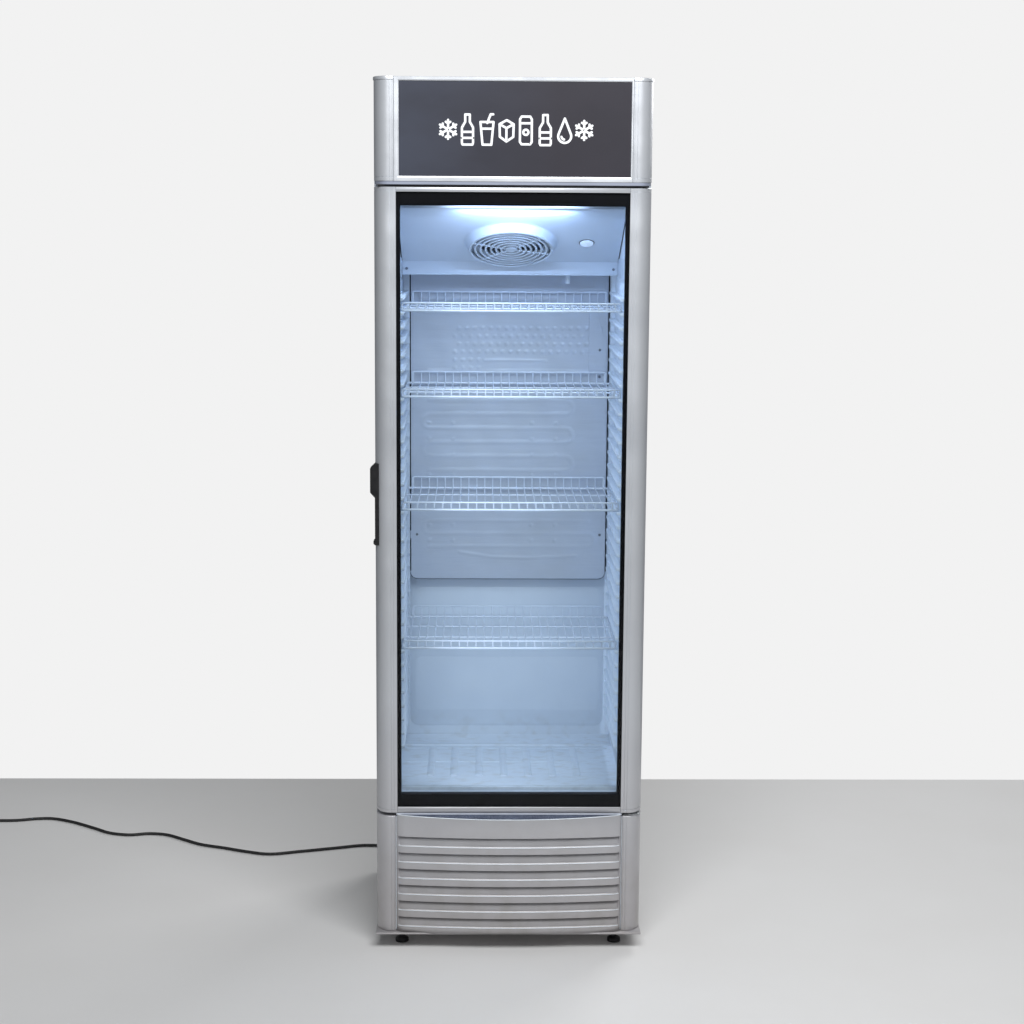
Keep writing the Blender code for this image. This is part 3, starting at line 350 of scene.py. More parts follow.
# Blue-grey enamel on the header's underside, partly darkened as painted shade.
BELT = Paint("belt_enamel_and_painted_shade", (146, 152, 168), 0.42)
BELT = BELT.clouds(30.0, 0.4, 0.7, 0.4, (124, 130, 146), (0.3, 1, 3), 4.0).grain(700.0, 0.00005).made
# Dark blue-grey textured paint on the recessed top of the kick panel.
SPECKLE = Paint("ledge_speckle", (70, 78, 98), 0.62)
SPECKLE.clouds(420.0, 0.48, 0.62, 0.7, (116, 124, 142), detail=3.0)
SPECKLE.clouds(36.0, 0.42, 0.66, 0.5, (44, 48, 62), (0.5, 2, 1), 4.0)
SPECKLE = SPECKLE.bump(SPECKLE.noise(420.0, detail=3.0), 0.0003).made
GREY = make_grey_steel()
ZINC = make_zinc()
WHITE = make_white_plastic()
WALL = make_white_plastic(0.14)
# Bright glossy plastic of the dial, a little yellowed in patches. Its glow is there for the picture.
DIAL = Paint("dial_plastic", (236, 243, 250), 0.30, Coat_Weight=0.2, Coat_Roughness=0.15)
DIAL.clouds(60.0, 0.5, 0.75, 0.3, (214, 218, 220), detail=4.0).glow(0.30, (220, 234, 255))
DIAL = DIAL.grain(500.0, 0.00004).made
# Glossy white dip coating on wire.
WIRE = Paint("wire_coating", (214, 221, 233), 0.28, Coat_Weight=0.25, Coat_Roughness=0.15)
WIRE = WIRE.clouds(40.0, 0.45, 0.7, 0.35, (186, 194, 208), detail=3.0).grain(220.0, 0.00012).made
BLACK = make_black_plastic()
# The painted border seen through the glass.
BORDER = Paint("border_black", (9, 8, 12), 0.5, Specular_IOR_Level=0.12)
BORDER = BORDER.clouds(30.0, 0.5, 0.8, 0.3, (24, 22, 32), detail=4.0).grain(800.0, 0.00003).made
# Black lead sheath with floor dust.
RUBBER = Paint("lead_sheath", (30, 30, 31), 0.62).clouds(120.0, 0.48, 0.75, 0.4, (66, 64, 61), detail=5.0)
RUBBER = RUBBER.rough(RUBBER.noise(200.0), 0.50, 0.72).grain(1400.0, 0.00006).made
VINYL = Paint("gasket_vinyl", (212, 219, 230), 0.60)
VINYL = VINYL.clouds(50.0, 0.45, 0.72, 0.5, (186, 193, 205), detail=4.0).grain(500.0, 0.0001).made
ACRYLIC = make_sign_face()
PRINT = Paint("print_white", (238, 239, 241), 0.5)
PRINT = PRINT.clouds(160.0, 0.5, 0.75, 0.4, (206, 208, 213), detail=3.0).grain(900.0, 0.00003).made
# Bright bead, brushed along its length, as painted highlight on edges.
EDGE = Paint("bright_bead_painted_highlight", (232, 240, 246), 0.30, Metallic=0.2)
EDGE = EDGE.clouds(90.0, 0.45, 0.7, 0.4, (204, 214, 224), (0.3, 1, 1), 3.0).grain(600.0, 0.00003).made
FOAM = make_foam()
COPPER = Paint("copper_tube", (196, 118, 78), 0.32, Metallic=1.0)
COPPER.clouds(70.0, 0.42, 0.7, 0.7, (118, 70, 48), detail=5.0)
COPPER = COPPER.rough(COPPER.noise(90.0, detail=3.0), 0.25, 0.5).grain(300.0, 0.00006).made
ENAMEL = make_black_paint()
ALUMINIUM = make_aluminium()
LENS = make_lens()
LIT = make_lit_cover()
SCREW = Paint("plated_screw", (150, 153, 160), 0.30, Metallic=0.9)
SCREW = SCREW.clouds(300.0, 0.42, 0.66, 0.6, (86, 86, 92), detail=4.0).grain(1500.0, 0.00005).made
PANE = make_glass()


# ---- shapes -------------------------------------------------------------------------------
def placed(place, direction=(0, 0, 1)):
    """The matrix that moves a shape's origin to `place` and turns its Z to `direction`."""
    turn = Vector((0.0, 0.0, 1.0)).rotation_difference(Vector(direction))
    return Matrix.Translation(place) @ turn.to_matrix().to_4x4()


def ring_points(radius, height, steps):
    angles = [2 * math.pi * step / steps for step in range(steps)]
    return [(radius * math.cos(a), radius * math.sin(a), height) for a in angles]


def linked(name, data):
    """A new object in the scene."""
    made = bpy.data.objects.new(name, data)
    bpy.context.scene.collection.objects.link(made)
    return made


class Shape:
    """Points and faces that are gathered bit by bit and then made one piece."""

    def __init__(self):
        self.points, self.faces = [], []

    def add(self, points, faces, place=None):
        start = len(self.points)
        if place is not None:
            points = [place @ Vector(point) for point in points]
        self.points += [tuple(point) for point in points]
        self.faces += [[start + corner for corner in face] for face in faces]
        return self

    def loft(self, rings, closed=False, place=None):
        """A skin over rings of equally many points; its ends are filled unless it closes on itself."""
        count, total = len(rings[0]), len(rings)
        faces = []
        for ring in range(total if closed else total - 1):
            one, two = ring * count, (ring + 1) % total * count
            faces += [(one + i, one + (i + 1) % count, two + (i + 1) % count, two + i) for i in range(count)]
        if not closed:
            faces += [list(range(count)), [(total - 1) * count + i for i in range(count)]]
        return self.add([point for ring in rings for point in ring], faces, place)

    def prism(self, loop, low, high, axis="Z", place=None):
        """An outline as thick as low to high along `axis`: (x, y), (x, z) or (y, z) points."""
        order = {"Z": (0, 1, 2), "Y": (0, 2, 1), "X": (2, 0, 1)}[axis]  # which of (u, v, t) is x, y and z
        rings = [[tuple((u, v, t)[i] for i in order) for u, v in loop] for t in (low, high)]
        return self.loft(rings, place=place)

    def box(self, low, high, place=None):
        loop = [(low[0], low[1]), (high[0], low[1]), (high[0], high[1]), (low[0], high[1])]
        return self.prism(loop, low[2], high[2], place=place)

    def turned(self, profile, place=None, steps=32, closed=False):
        """(radius, height) points turned about Z; a radius of 0 isn't needed, as ends are filled."""
        return self.loft([ring_points(radius, height, steps) for radius, height in profile], closed, place)

    def window(self, outer, inner, section):
        """A mitred frame across Y. `section` has (share of the way from outer to inner, y) points."""
        rings = []
        for share, y in section:
            x0, z0, x1, z1 = [one + (two - one) * share for one, two in zip(outer, inner)]
            rings.append([(x0, y, z0), (x1, y, z0), (x1, y, z1), (x0, y, z1)])
        return self.loft(rings, closed=True)

    def mesh(self, name):
        """What was gathered as one mesh, with its faces turned outwards."""
        mesh = bpy.data.meshes.new(name)
        mesh.from_pydata(self.points, [], self.faces)
        skin = bmesh.new()
        skin.from_mesh(mesh)
        bmesh.ops.recalc_face_normals(skin, faces=skin.faces)
        skin.to_mesh(mesh)
        skin.free()
        return mesh

    def piece(self, name, paint, body="cabinet", stands_for=(), slot=None, **edges):
        return finish_piece(name, self.mesh(name), paint, body, stands_for, slot, **edges)


def finish_piece(name, data, paint, body, stands_for=(), slot=None, bevel=0.0, segments=2, angle=32.0):
    """Makes a mesh or curve a piece of the model, with its finish, body and soft edges."""
    made = linked(name, data)
    data.materials.append(paint)
    if isinstance(data, bpy.types.Mesh):
        data.shade_smooth()
        if not bevel:
            data.set_sharp_from_angle(angle=math.radians(angle))
    if bevel:
        round_edges(made, bevel, segments, angle)
    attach(made, body)
    if stands_for:
        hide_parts(*stands_for)
    return made


def round_edges(thing, width, segments=2, angle=32.0):
    soft = thing.modifiers.new("Rounded edges", "BEVEL")
    soft.width = width
    soft.segments = segments
    soft.limit_method = "ANGLE"
    soft.angle_limit = math.radians(angle)
    soft.harden_normals = True
    soft.use_clamp_overlap = True


def carve(piece, tool):
    """Cuts a shape out of a piece for good."""
    cutter = linked("tool", tool.mesh("tool"))
    step = piece.modifiers.new("Cut", "BOOLEAN")
    step.operation, step.solver, step.object = "DIFFERENCE", "EXACT", cutter
    graph = bpy.context.evaluated_depsgraph_get()
    result = bpy.data.meshes.new_from_object(piece.evaluated_get(graph))
    piece.modifiers.remove(step)
    piece.data = result
    piece.data.set_sharp_from_angle(angle=math.radians(32))
    bpy.data.objects.remove(cutter, do_unlink=True)


def grid_faces(rows, columns, left_out=None):
    """Quads between the neighbours of a grid of points that is listed row by row."""
    faces = []
    for row in range(rows - 1):
        for column in range(columns - 1):
            if left_out is None or not left_out(row, column):
                first = row * columns + column
                faces.append((first, first + 1, first + 1 + columns, first + columns))
    return faces


def wires(name, runs, paint, body="cabinet", stands_for=(), slot=None, sides=3):
    """Round wires as one curve piece. Each run is (points, radius, whether it closes on itself)."""
    curve = bpy.data.curves.new(name, "CURVE")
    curve.dimensions = "3D"
    curve.bevel_depth = 0.001
    curve.bevel_resolution = sides
    curve.use_fill_caps = True
    for points, radius, closed in runs:
        spline = curve.splines.new("POLY")
        spline.points.add(len(points) - 1)
        for point, place in zip(spline.points, points):
            point.co = (*place, 1.0)
            point.radius = radius / curve.bevel_depth
        spline.use_cyclic_u = closed
    return finish_piece(name, curve, paint, body, stands_for, slot)


def arc(middle, radius, start, end, steps):
    """Points on an arc in a plane, angles in degrees."""
    angles = [math.radians(start + (end - start) * step / steps) for step in range(steps + 1)]
    return [(middle[0] + radius * math.cos(a), middle[1] + radius * math.sin(a)) for a in angles]


def rounded_rectangle(x0, y0, x1, y1, radius, steps=4):
    points = arc((x1 - radius, y0 + radius), radius, -90, 0, steps)
    points += arc((x1 - radius, y1 - radius), radius, 0, 90, steps)
    points += arc((x0 + radius, y1 - radius), radius, 90, 180, steps)
    return points + arc((x0 + radius, y0 + radius), radius, 180, 270, steps)


def screw(shape, place, direction, radius=0.0038, height=0.0016):
    """A pan head with a cross on it, added to a shape."""
    at = placed(place, direction)
    dome = [(radius, 0.0), (radius, height * 0.4), (radius * 0.8, height * 0.85), (radius * 0.45, height)]
    shape.turned(dome, at, steps=16)
    low = (-radius * 0.5, -radius * 0.09, height * 0.9)
    high = (radius * 0.5, radius * 0.09, height * 1.12)
    for turn in (0.0, math.pi / 2):
        shape.box(low, high, at @ Matrix.Rotation(turn, 4, "Z"))


# ---- camera, light and floor --------------------------------------------------------------
def make_camera():
    place = Vector((-0.0750, -4.5527, 1.7241))
    yaw, pitch, roll = (math.radians(a) for a in (1.028, 9.098, 0.386))
    ahead = Vector((math.sin(yaw) * math.cos(pitch), math.cos(yaw) * math.cos(pitch), -math.sin(pitch)))
    level = Vector((math.cos(yaw), -math.sin(yaw), 0.0))
    upright = level.cross(ahead)
    right = level * math.cos(roll) + upright * math.sin(roll)
    up = upright * math.cos(roll) - level * math.sin(roll)
    data = bpy.data.cameras.new("camera")
    data.lens, data.sensor_width = 67.5, 36.0
    made = linked("camera", data)
    made.matrix_world = Matrix.Translation(place) @ Matrix((right, up, -ahead)).transposed().to_4x4()
    bpy.context.scene.camera = made


def make_light(name, place, aim, size, power, colour=(1.0, 1.0, 1.0), hidden=False):
    data = bpy.data.lights.new(name, "AREA")
    data.shape = "RECTANGLE"
    data.size, data.size_y = size
    data.energy = power
    data.color = colour
    made = linked(name, data)
    made.location = place
    made.rotation_mode = "QUATERNION"
    made.rotation_quaternion = (Vector(aim) - Vector(place)).to_track_quat("-Z", "Y")
    made.visible_camera = False
    made.visible_glossy = not hidden


def make_studio():
    scene = bpy.context.scene
    scene.view_settings.view_transform = "Standard"
    world = bpy.data.worlds.new("studio")
    scene.world = world
    world.use_nodes = True
    nodes, links = world.node_tree.nodes, world.node_tree.links
    backdrop = nodes["Background"]
    backdrop.inputs["Color"].default_value = srgb(242, 242, 242)
    ambient = nodes.new("ShaderNodeBackground")
    ambient.inputs["Color"].default_value = (0.90, 0.95, 1.0, 1.0)
    ambient.inputs["Strength"].default_value = 0.15
    path = nodes.new("ShaderNodeLightPath")
    mix = nodes.new("ShaderNodeMixShader")
    links.new(path.outputs["Is Camera Ray"], mix.inputs[0])
    links.new(ambient.outputs[0], mix.inputs[1])
    links.new(backdrop.outputs[0], mix.inputs[2])
    links.new(mix.outputs[0], nodes["World Output"].inputs["Surface"])
    make_light("key", (0.30, -2.4, 3.3), (0.0, 0.0, 1.6), (2.8, 1.3), 124.0, (0.98, 0.99, 1.0))
    make_light("rim", (1.8, 2.6, 2.8), (0.0, 0.3, 0.9), (1.6, 1.6), 45.0)
    mesh = bpy.data.meshes.new("floor")
    mesh.from_pydata([(-9, -9, 0), (9, -9, 0), (9, 1.08, 0), (-9, 1.08, 0)], [], [(0, 1, 2, 3)])
    made = linked("floor", mesh)
    paint = Paint("pale_floor", (226, 225, 224), 0.6).clouds(3.0, 0.4, 0.7, 0.3, (220, 218, 216), detail=4.0)
    made.data.materials.append(paint.grain(90.0, 0.0002).made)


def make_cabinet_lamps():
    """The light that the lamp and the room throw on the inside."""
    cold, pale = (0.50, 0.66, 1.0), (0.80, 0.86, 1.0)
    make_light("lamp_glow", (0.0075, -0.1880, 1.6930), (0.0, 0.05, 1.56), (0.26, 0.010), 0.62, cold, True)
    height = (CAVITY_LOW + CAVITY_HIGH) / 2
    place = (-0.03, -0.2290, height)
    make_light("inside_fill", place, (0.01, CAVITY_BACK, height), (0.28, 1.32), 1.43, pale, True)


# ---- mains lead ---------------------------------------------------------------------------
def smooth_route(points, spacing):
    """Points a fixed distance apart on the curve that runs smoothly through the given ones."""
    knots = [Vector(p) for p in (points[0], *points, points[-1])]
    fine = []
    for a, b, c, d in zip(knots, knots[1:], knots[2:], knots[3:]):
        for step in range(24):
            t = step / 24
            square = (2 * a - 5 * b + 4 * c - d) * t * t
            cube = (3 * b - a - 3 * c + d) * t**3
            fine.append(0.5 * (2 * b + (c - a) * t + square + cube))
    fine.append(knots[-1])
    total = sum((q - p).length for p, q in zip(fine, fine[1:]))
    count = round(total / spacing)
    picked, walked, target = [fine[0]], 0.0, total / count
    for p, q in zip(fine, fine[1:]):
        length = (q - p).length
        while walked + length >= target and len(picked) < count:
            picked.append(p.lerp(q, (target - walked) / length))
            target += total / count
        walked += length
    picked.append(fine[-1])
    return picked


def ease(value, low, high):
    share = min(1.0, max(0.0, (value - low) / (high - low)))
    return share * share * (3.0 - 2.0 * share)


def coil_turns():
    """Three and a quarter turns: two side by side on the floor, then two on top of them."""
    points = []
    first, last, step = 90, 1260, 10
    for angle in range(first + step, last + 1, step):
        inward = ease(angle, 400, 445) - ease(angle, 1070, 1115)
        radius = COIL_TURN + CORD_RADIUS - 2 * CORD_RADIUS * inward
        height = 2 * CORD_RADIUS * ease(angle, 715, 760)
        if 1050 < angle < 1130:
            height += 0.003 * math.sin(math.pi * (angle - 1050) / 80) ** 2
        a = math.radians(angle)
        points.append(COIL_MIDDLE + Vector((radius * math.cos(a), radius * math.sin(a), height)))
    return points


def make_lead():
    route = smooth_route(CORD_ROUTE, 0.012)
    for point in route:
        point.z = max(point.z, CORD_RADIUS + 0.0001)
    tail = Vector((PLUG[0].x + PLUG[1].x, 0.0, 0.0)) / 2
    tail.y, tail.z = PLUG[1].y - 0.0003, 0.0125
    points = route + coil_turns()
    last = points[-1]
    points += [last + (tail - last) * share for share in (0.35, 0.7, 1.0)]
    curve = bpy.data.curves.new("mains_lead", "CURVE")
    curve.dimensions = "3D"
    curve.bevel_depth = CORD_RADIUS
    curve.bevel_resolution = 4
    curve.use_fill_caps = True
    spline = curve.splines.new("POLY")
    spline.points.add(len(points) - 1)
    for point, place in zip(spline.points, points):
        point.co = (*place, 1.0)
    lead = finish_piece("mains_lead", curve, RUBBER, "cabinet", ("power_cord", "cord_coil"), "rubber")
    gland, plug, tie = make_gland(), make_plug(tail), make_tie()


def make_gland():
    """Strain relief: a flange on the grille and a ribbed sleeve that tapers along the lead."""
    low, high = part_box("cord_gland")
    middle = (low + high) / 2
    end, flange = high.y - low.y, 0.013
    profile = [(0.0083, 0.0), (0.0083, 0.0062), (flange - 0.0008, 0.0063), (flange, 0.0070)]
    profile += [(flange, 0.0092), (flange - 0.0008, 0.0100), (0.0088, 0.0100)]
    start, ribs = 0.0115, 7
    pitch = (end - start - 0.002) / ribs
    for rib in range(ribs):
        z = start + rib * pitch
        radius = 0.0087 - 0.0026 * rib / (ribs - 1)
        groove = max(0.0050, radius - 0.0016)
        steps = ((radius, 0.0), (radius, 0.55), (groove, 0.60), (groove, 0.95))
        profile += [(r, z + pitch * share) for r, share in steps]
    profile += [(0.0056, end - 0.0012), (0.0052, end)]
    shape = Shape().turned(profile, placed((middle.x, low.y, middle.z), (0, 1, 0)), steps=28)
    return shape.piece("lead_gland", BLACK, "cabinet", ("cord_gland",), "black_plastic")


def make_plug(tail):
    """Moulded plug with a ribbed tail, waisted grip, two blades and an earth pin."""
    low, high = PLUG
    body_back = high.y - 0.024
    body_front = low.y + 0.018
    x, z = tail.x, tail.z
    half_x, half_z = high.x - x, 0.0122
    rings = []
    for y, share, corner in (
        (body_back + 0.0005, 0.62, 0.0060),
        (body_back - 0.003, 0.90, 0.0060),
        (body_back - 0.012, 0.94, 0.0050),
        (body_back - 0.022, 0.84, 0.0045),
        (body_front + 0.012, 0.92, 0.0040),
        (body_front + 0.008, 1.0, 0.0040),
        (body_front + 0.0012, 1.0, 0.0040),
        (body_front, 0.95, 0.0035),
    ):
        wide, tall = half_x * share, half_z * share
        loop = rounded_rectangle(x - wide, z - tall, x + wide, z + tall, corner)
        rings.append([(u, y, v) for u, v in loop])
    shape = Shape().loft(rings)
    profile, ribs, length = [], 5, high.y - body_back
    pitch = length / ribs
    for rib in range(ribs):
        radius = 0.0085 - 0.0036 * rib / (ribs - 1)
        y = rib * pitch
        profile += [(radius, y), (radius, y + pitch * 0.6), (radius - 0.0012, y + pitch * 0.66)]
        profile += [(radius - 0.0012, y + pitch * 0.95)]
    shape.turned(profile, placed((x, body_back, z), (0, 1, 0)), steps=24)
    for side in (-1, 1):
        for rib in range(5):
            y = body_back - 0.010 - rib * 0.0032
            edge = x + side * half_x * 0.84
            shape.box((edge - 0.0012, y - 0.0008, z - 0.006), (edge + 0.0012, y + 0.0008, z + 0.006))
    plug = shape.piece("lead_plug", BLACK, "cabinet", ("power_plug",), "black_plastic", bevel=0.0004)
    pins = Shape()
    for side in (-1, 1):
        loop = [(body_front + 0.001, z - 0.0002), (low.y + 0.0012, z - 0.0002), (low.y, z + 0.0010)]
        loop += [(low.y, z + 0.0050), (low.y + 0.0012, z + 0.0062), (body_front + 0.001, z + 0.0062)]
        middle = x + side * 0.0063
        pins.prism(loop, middle - 0.0008, middle + 0.0008, "X")
    dome = [(0.0024, 0.0), (0.0024, 0.0175), (0.0018, 0.0195), (0.0008, 0.0205)]
    pins.turned(dome, placed((x, body_front + 0.001, z - 0.0062), (0, -1, 0)), steps=20)
    made = pins.piece("lead_plug_pins", SCREW, slot="zinc_steel", bevel=0.0002)
    made.parent = plug
    return plug


def make_tie():
    """A band round the coil's turns, with its small lock."""
    angle = math.radians(250)
    outward = Vector((math.cos(angle), math.sin(angle), 0.0))
    middle = COIL_MIDDLE + outward * COIL_TURN
    across, up = 2 * CORD_RADIUS + 0.0013, 2 * CORD_RADIUS + 0.0008
    low_z = 0.0003
    high_z = COIL_MIDDLE.z + 2 * CORD_RADIUS + CORD_RADIUS + 0.0011
    half_z = (high_z - low_z) / 2
    loop = rounded_rectangle(-across, -half_z, across, half_z, 0.0042, 6)
    inner = rounded_rectangle(-across + 0.0009, -half_z + 0.0004, across - 0.0009, half_z - 0.0009, 0.0036, 6)
    frame_at = Matrix((
        (outward.x, -outward.y, 0.0, middle.x),
        (outward.y, outward.x, 0.0, middle.y),
        (0.0, 0.0, 1.0, (low_z + high_z) / 2),
        (0.0, 0.0, 0.0, 1.0),
    ))
    rings = []
    for points, y in ((loop, -0.002), (loop, 0.002), (inner, 0.002), (inner, -0.002)):
        rings.append([(u, y, v) for u, v in points])
    shape = Shape().loft(rings, closed=True, place=frame_at)
    shape.box((-0.003, -0.0028, half_z - 0.0006), (0.003, 0.0028, half_z + up * 0.12), frame_at)
    return shape.piece("lead_tie", BLACK, slot="black_plastic", bevel=0.0002)


make_camera()
make_studio()
make_cabinet_lamps()
make_lead()


# ---- posts and caps -----------------------------------------------------------------------
POST_GROOVES = (0.2665, 0.2727)
GROOVE_HALF, GROOVE_DEEP = 0.0007, 0.0009


def post_section(side, inner, back, proud=0.0, grooves=POST_GROOVES, glazed=False):
    """Section of a front post: fine grooves in its flat front and a rounded outer corner."""
    front, across = FRONT - proud, HALF_WIDTH - POST_FLAT
    points = [(inner, back)]
    if glazed:
        deep, near, far = inner + 0.006, GLASS[0].y - GAP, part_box("inner_glass")[1].y + GAP
        points += [(inner, far), (deep, far), (deep, near), (inner, near)]
    points += [(inner, front + 0.0006), (inner + 0.0006, front)]
    for x in grooves:
        points += [(x - GROOVE_HALF, front), (x - GROOVE_HALF * 0.5, front + GROOVE_DEEP)]
        points += [(x + GROOVE_HALF * 0.5, front + GROOVE_DEEP), (x + GROOVE_HALF, front)]
    for step in range(19):
        angle = math.radians(5.0 * step)
        depth = (POST_DEPTH + proud) * (1.0 - math.cos(angle))
        points.append((POST_FLAT + (across + proud) * math.sin(angle), front + depth))
    if back > DOOR_BACK:
        points.append((HALF_WIDTH + proud, back))
    return [(side * x, y) for x, y in points]


def post_shape(side, inner, back, levels, **section):
    """A post through (height, how proud) levels."""
    rings = []
    for z, proud in levels:
        rings.append([(x, y, z) for x, y in post_section(side, inner, back, proud, **section)])
    return Shape().loft(rings)


def soft_ends(low, high, edge=0.0008):
    return [(low, -edge), (low + edge, 0.0), (high - edge, 0.0), (high, -edge)]


def seam_levels(z, deep=0.0008):
    return [(z - 0.0008, 0.0), (z - 0.0003, -deep), (z + 0.0003, -deep), (z + 0.0008, 0.0)]


def make_posts():
    seam = 0.0080
    low, high = DOOR_POST[0].z, DOOR_POST[1].z
    levels = [(low, -0.0008), (low + 0.0008, 0.0)]
    for z in (low + seam, high - seam):
        levels += seam_levels(z)
    levels += [(high - 0.0008, 0.0), (high, -0.0008)]
    for side, place in ((-1, "left"), (1, "right")):
        bottom, top = BELT_HIGH + 0.0004, HEADER_CAP[0].z - GAP
        ends = [(bottom, -0.0012), (bottom + 0.0012, 0.0), *seam_levels(bottom + seam + 0.0015), (top, 0.0)]
        header = post_shape(side, HEADER_INNER, DOOR_BACK, ends)
        header.piece(f"header_corner_{place}", SILVER, "cabinet", (f"header_post_{place}",), "silver_trim")
        door = post_shape(side, GLASS[1].x - 0.0055, DOOR_BACK, levels, glazed=True)
        post = door.piece(f"door_stile_{place}", SILVER, "door", (f"door_post_{place}",), "silver_trim")
        if side < 0:
            carve_handle_recess(post)
        else:
            carve_pin_bores(post)
        inner, back = HEADER_INNER, KICK_POST[1].y
        kick = post_shape(side, inner, back, soft_ends(KICK_POST[0].z, KICK_POST[1].z, 0.0012))
        kick.piece(f"kick_corner_{place}", SILVER, "cabinet", (f"kick_post_{place}",), "silver_trim")
        cap_low, cap_high = HEADER_CAP[0].z, HEADER_CAP[1].z
        levels_of_cap = [(cap_low, 0.0006), (cap_low + 0.0008, 0.0015), (cap_high - 0.0022, 0.0015)]
        levels_of_cap += [(cap_high - 0.0008, 0.0010), (cap_high, -0.0004)]
        cap = post_shape(side, HEADER_INNER, DOOR_BACK, levels_of_cap, grooves=())
        cap.piece(f"corner_cap_{place}", SILVER, "cabinet", (f"header_cap_{place}",), "silver_trim")


def carve_handle_recess(post):
    low, high = HANDLE
    tool = Shape().box((low.x - 0.01, low.y - GAP, low.z - GAP), (high.x + GAP, high.y + GAP, high.z + GAP))
    carve(post, tool)


def carve_pin_bores(post):
    hinge = Vector((0.291, -0.242, 0.0))
    tool = Shape()
    for z in (DOOR_POST[0].z - 0.010, DOOR_POST[1].z - 0.020):
        tool.turned([(0.0045, 0.0), (0.0045, 0.030)], placed(hinge + Vector((0, 0, z))), 24)
    carve(post, tool)


# ---- header -------------------------------------------------------------------------------
BELT_LOW, BELT_HIGH = 1.7662, 1.7728  # the shaded strip between the door's head and the sign


def make_belt():
    """The strip across the underside of the header, rounded like the posts at both ends."""
    rings = []
    for z, proud in ((BELT_LOW, -0.0018), (BELT_LOW + 0.0008, -0.0012), (BELT_HIGH, -0.0012)):
        right = post_section(1, 0.2, DOOR_BACK, proud, grooves=())[2:]
        rings.append([(x, y, z) for x, y in right + [(-x, y) for x, y in reversed(right)]])
    Shape().loft(rings).piece("header_belt", BELT, slot="silver_trim")


SIGN_LEFT, SIGN_RIGHT, SIGN_TOP = -0.2520, 0.2585, 1.9902  # the part of the sign that shows


def make_sign_surround():
    """Mitred frame round the sign, up to the canopy's roof, and the sign's face in it."""
    back = SIGN_FRAME[1].y
    front = SIGN_FRAME[0].y
    outer = (SIGN_FRAME[0].x, BELT_HIGH + 0.0005, SIGN_FRAME[1].x, 1.9995)
    inner = (SIGN_LEFT, SIGN[0].z - GAP, SIGN_RIGHT, SIGN_TOP)
    section = [(0.0, back), (0.0, front + 0.0008), (0.05, front), (0.70, front), (0.78, front + 0.0003)]
    section += [(0.95, front + 0.0010), (1.0, front + 0.0018), (1.0, back)]
    shape = Shape().window(outer, inner, section)
    shape.piece("sign_surround", SILVER, "cabinet", ("sign_frame",), "silver_trim", angle=20)
    low, high = (SIGN_LEFT + GAP, SIGN[0].y, SIGN[0].z), (SIGN_RIGHT - GAP, SIGN[1].y, SIGN_TOP - GAP)
    face = Shape().box(low, high)
    face.piece("sign_face", ACRYLIC, "cabinet", ("sign_panel",), "sign_face", bevel=0.0003)


class Strokes(Shape):
    """Thin white strokes on the sign's face."""

    def __init__(self, y, width):
        super().__init__()
        self.y, self.width, self.count = y, width, 0

    def lay(self, loop):
        """Each bit lies a hair in front of the one before, so that no two share a plane."""
        self.count += 1
        self.prism(loop, self.y - 0.0002 - 0.000025 * (self.count % 7), self.y, "Y")

    def symbol(self, lines, x, z, size):
        """Draws lines of (across, up) points, each with whether it closes on itself."""
        for points, closed in lines:
            spots = [(x + u * size, z + v * size) for u, v in points]
            for (x0, z0), (x1, z1) in zip(spots, spots[1:] + (spots[:1] if closed else [])):
                run = Vector((x1 - x0, z1 - z0)).normalized() * self.width / 2
                loop = [(x0 - run.y, z0 + run.x), (x1 - run.y, z1 + run.x), (x1 + run.y, z1 - run.x)]
                self.lay(loop + [(x0 + run.y, z0 - run.x)])
            for spot in spots:
                self.lay(arc(spot, self.width / 2, 0, 330, 11))


def snowflake():
    lines = []
    for arm in range(6):
        a = math.radians(60 * arm + 30)
        u, v = math.cos(a), math.sin(a)
        ends = [(0.60 * u + 0.26 * math.cos(a + t), 0.60 * v + 0.26 * math.sin(a + t)) for t in (-1.05, 1.05)]
        barbs = [ends[0], (0.60 * u, 0.60 * v), ends[1]]
        lines += [([(0.0, 0.0), (u * 0.92, v * 0.92)], False), (barbs, False)]
    return lines


def mirrored(half):
    return half + [(-u, v) for u, v in reversed(half)]


def bar(half, height):
    return ([(-half, height), (half, height)], False)


SNOWFLAKE = snowflake()
BOTTLE = [
    (mirrored([(0.30, -0.90), (0.34, -0.80), (0.34, 0.12), (0.14, 0.46), (0.14, 0.90)]), True),
    bar(0.34, -0.50),
    bar(0.34, -0.14),
]
TUMBLER = [
    ([(-0.40, 0.46), (-0.27, -0.90), (0.27, -0.90), (0.40, 0.46)], True),
    bar(0.33, 0.06),
    ([(0.02, 0.40), (0.22, 0.92), (0.38, 0.92)], False),
]
ICE = [
    ([(-0.42, 0.34), (0.02, 0.58), (0.44, 0.34), (0.0, 0.10)], True),
    ([(-0.42, 0.34), (-0.40, -0.42), (0.0, -0.70), (0.42, -0.42), (0.44, 0.34)], False),
    ([(0.0, 0.10), (0.0, -0.70)], False),
]
CAN = [
    (mirrored([(0.26, -0.86), (0.36, -0.72), (0.36, 0.64), (0.26, 0.80)]), True),
    bar(0.34, 0.40),
    (arc((0.0, -0.14), 0.16, 0, 330, 11), True),
]
DROP = [
    (arc((0.0, -0.36), 0.40, -210, 30, 14) + [(0.0, 0.70)], True),
    (arc((0.0, -0.36), 0.20, 190, 260, 4), False),
]


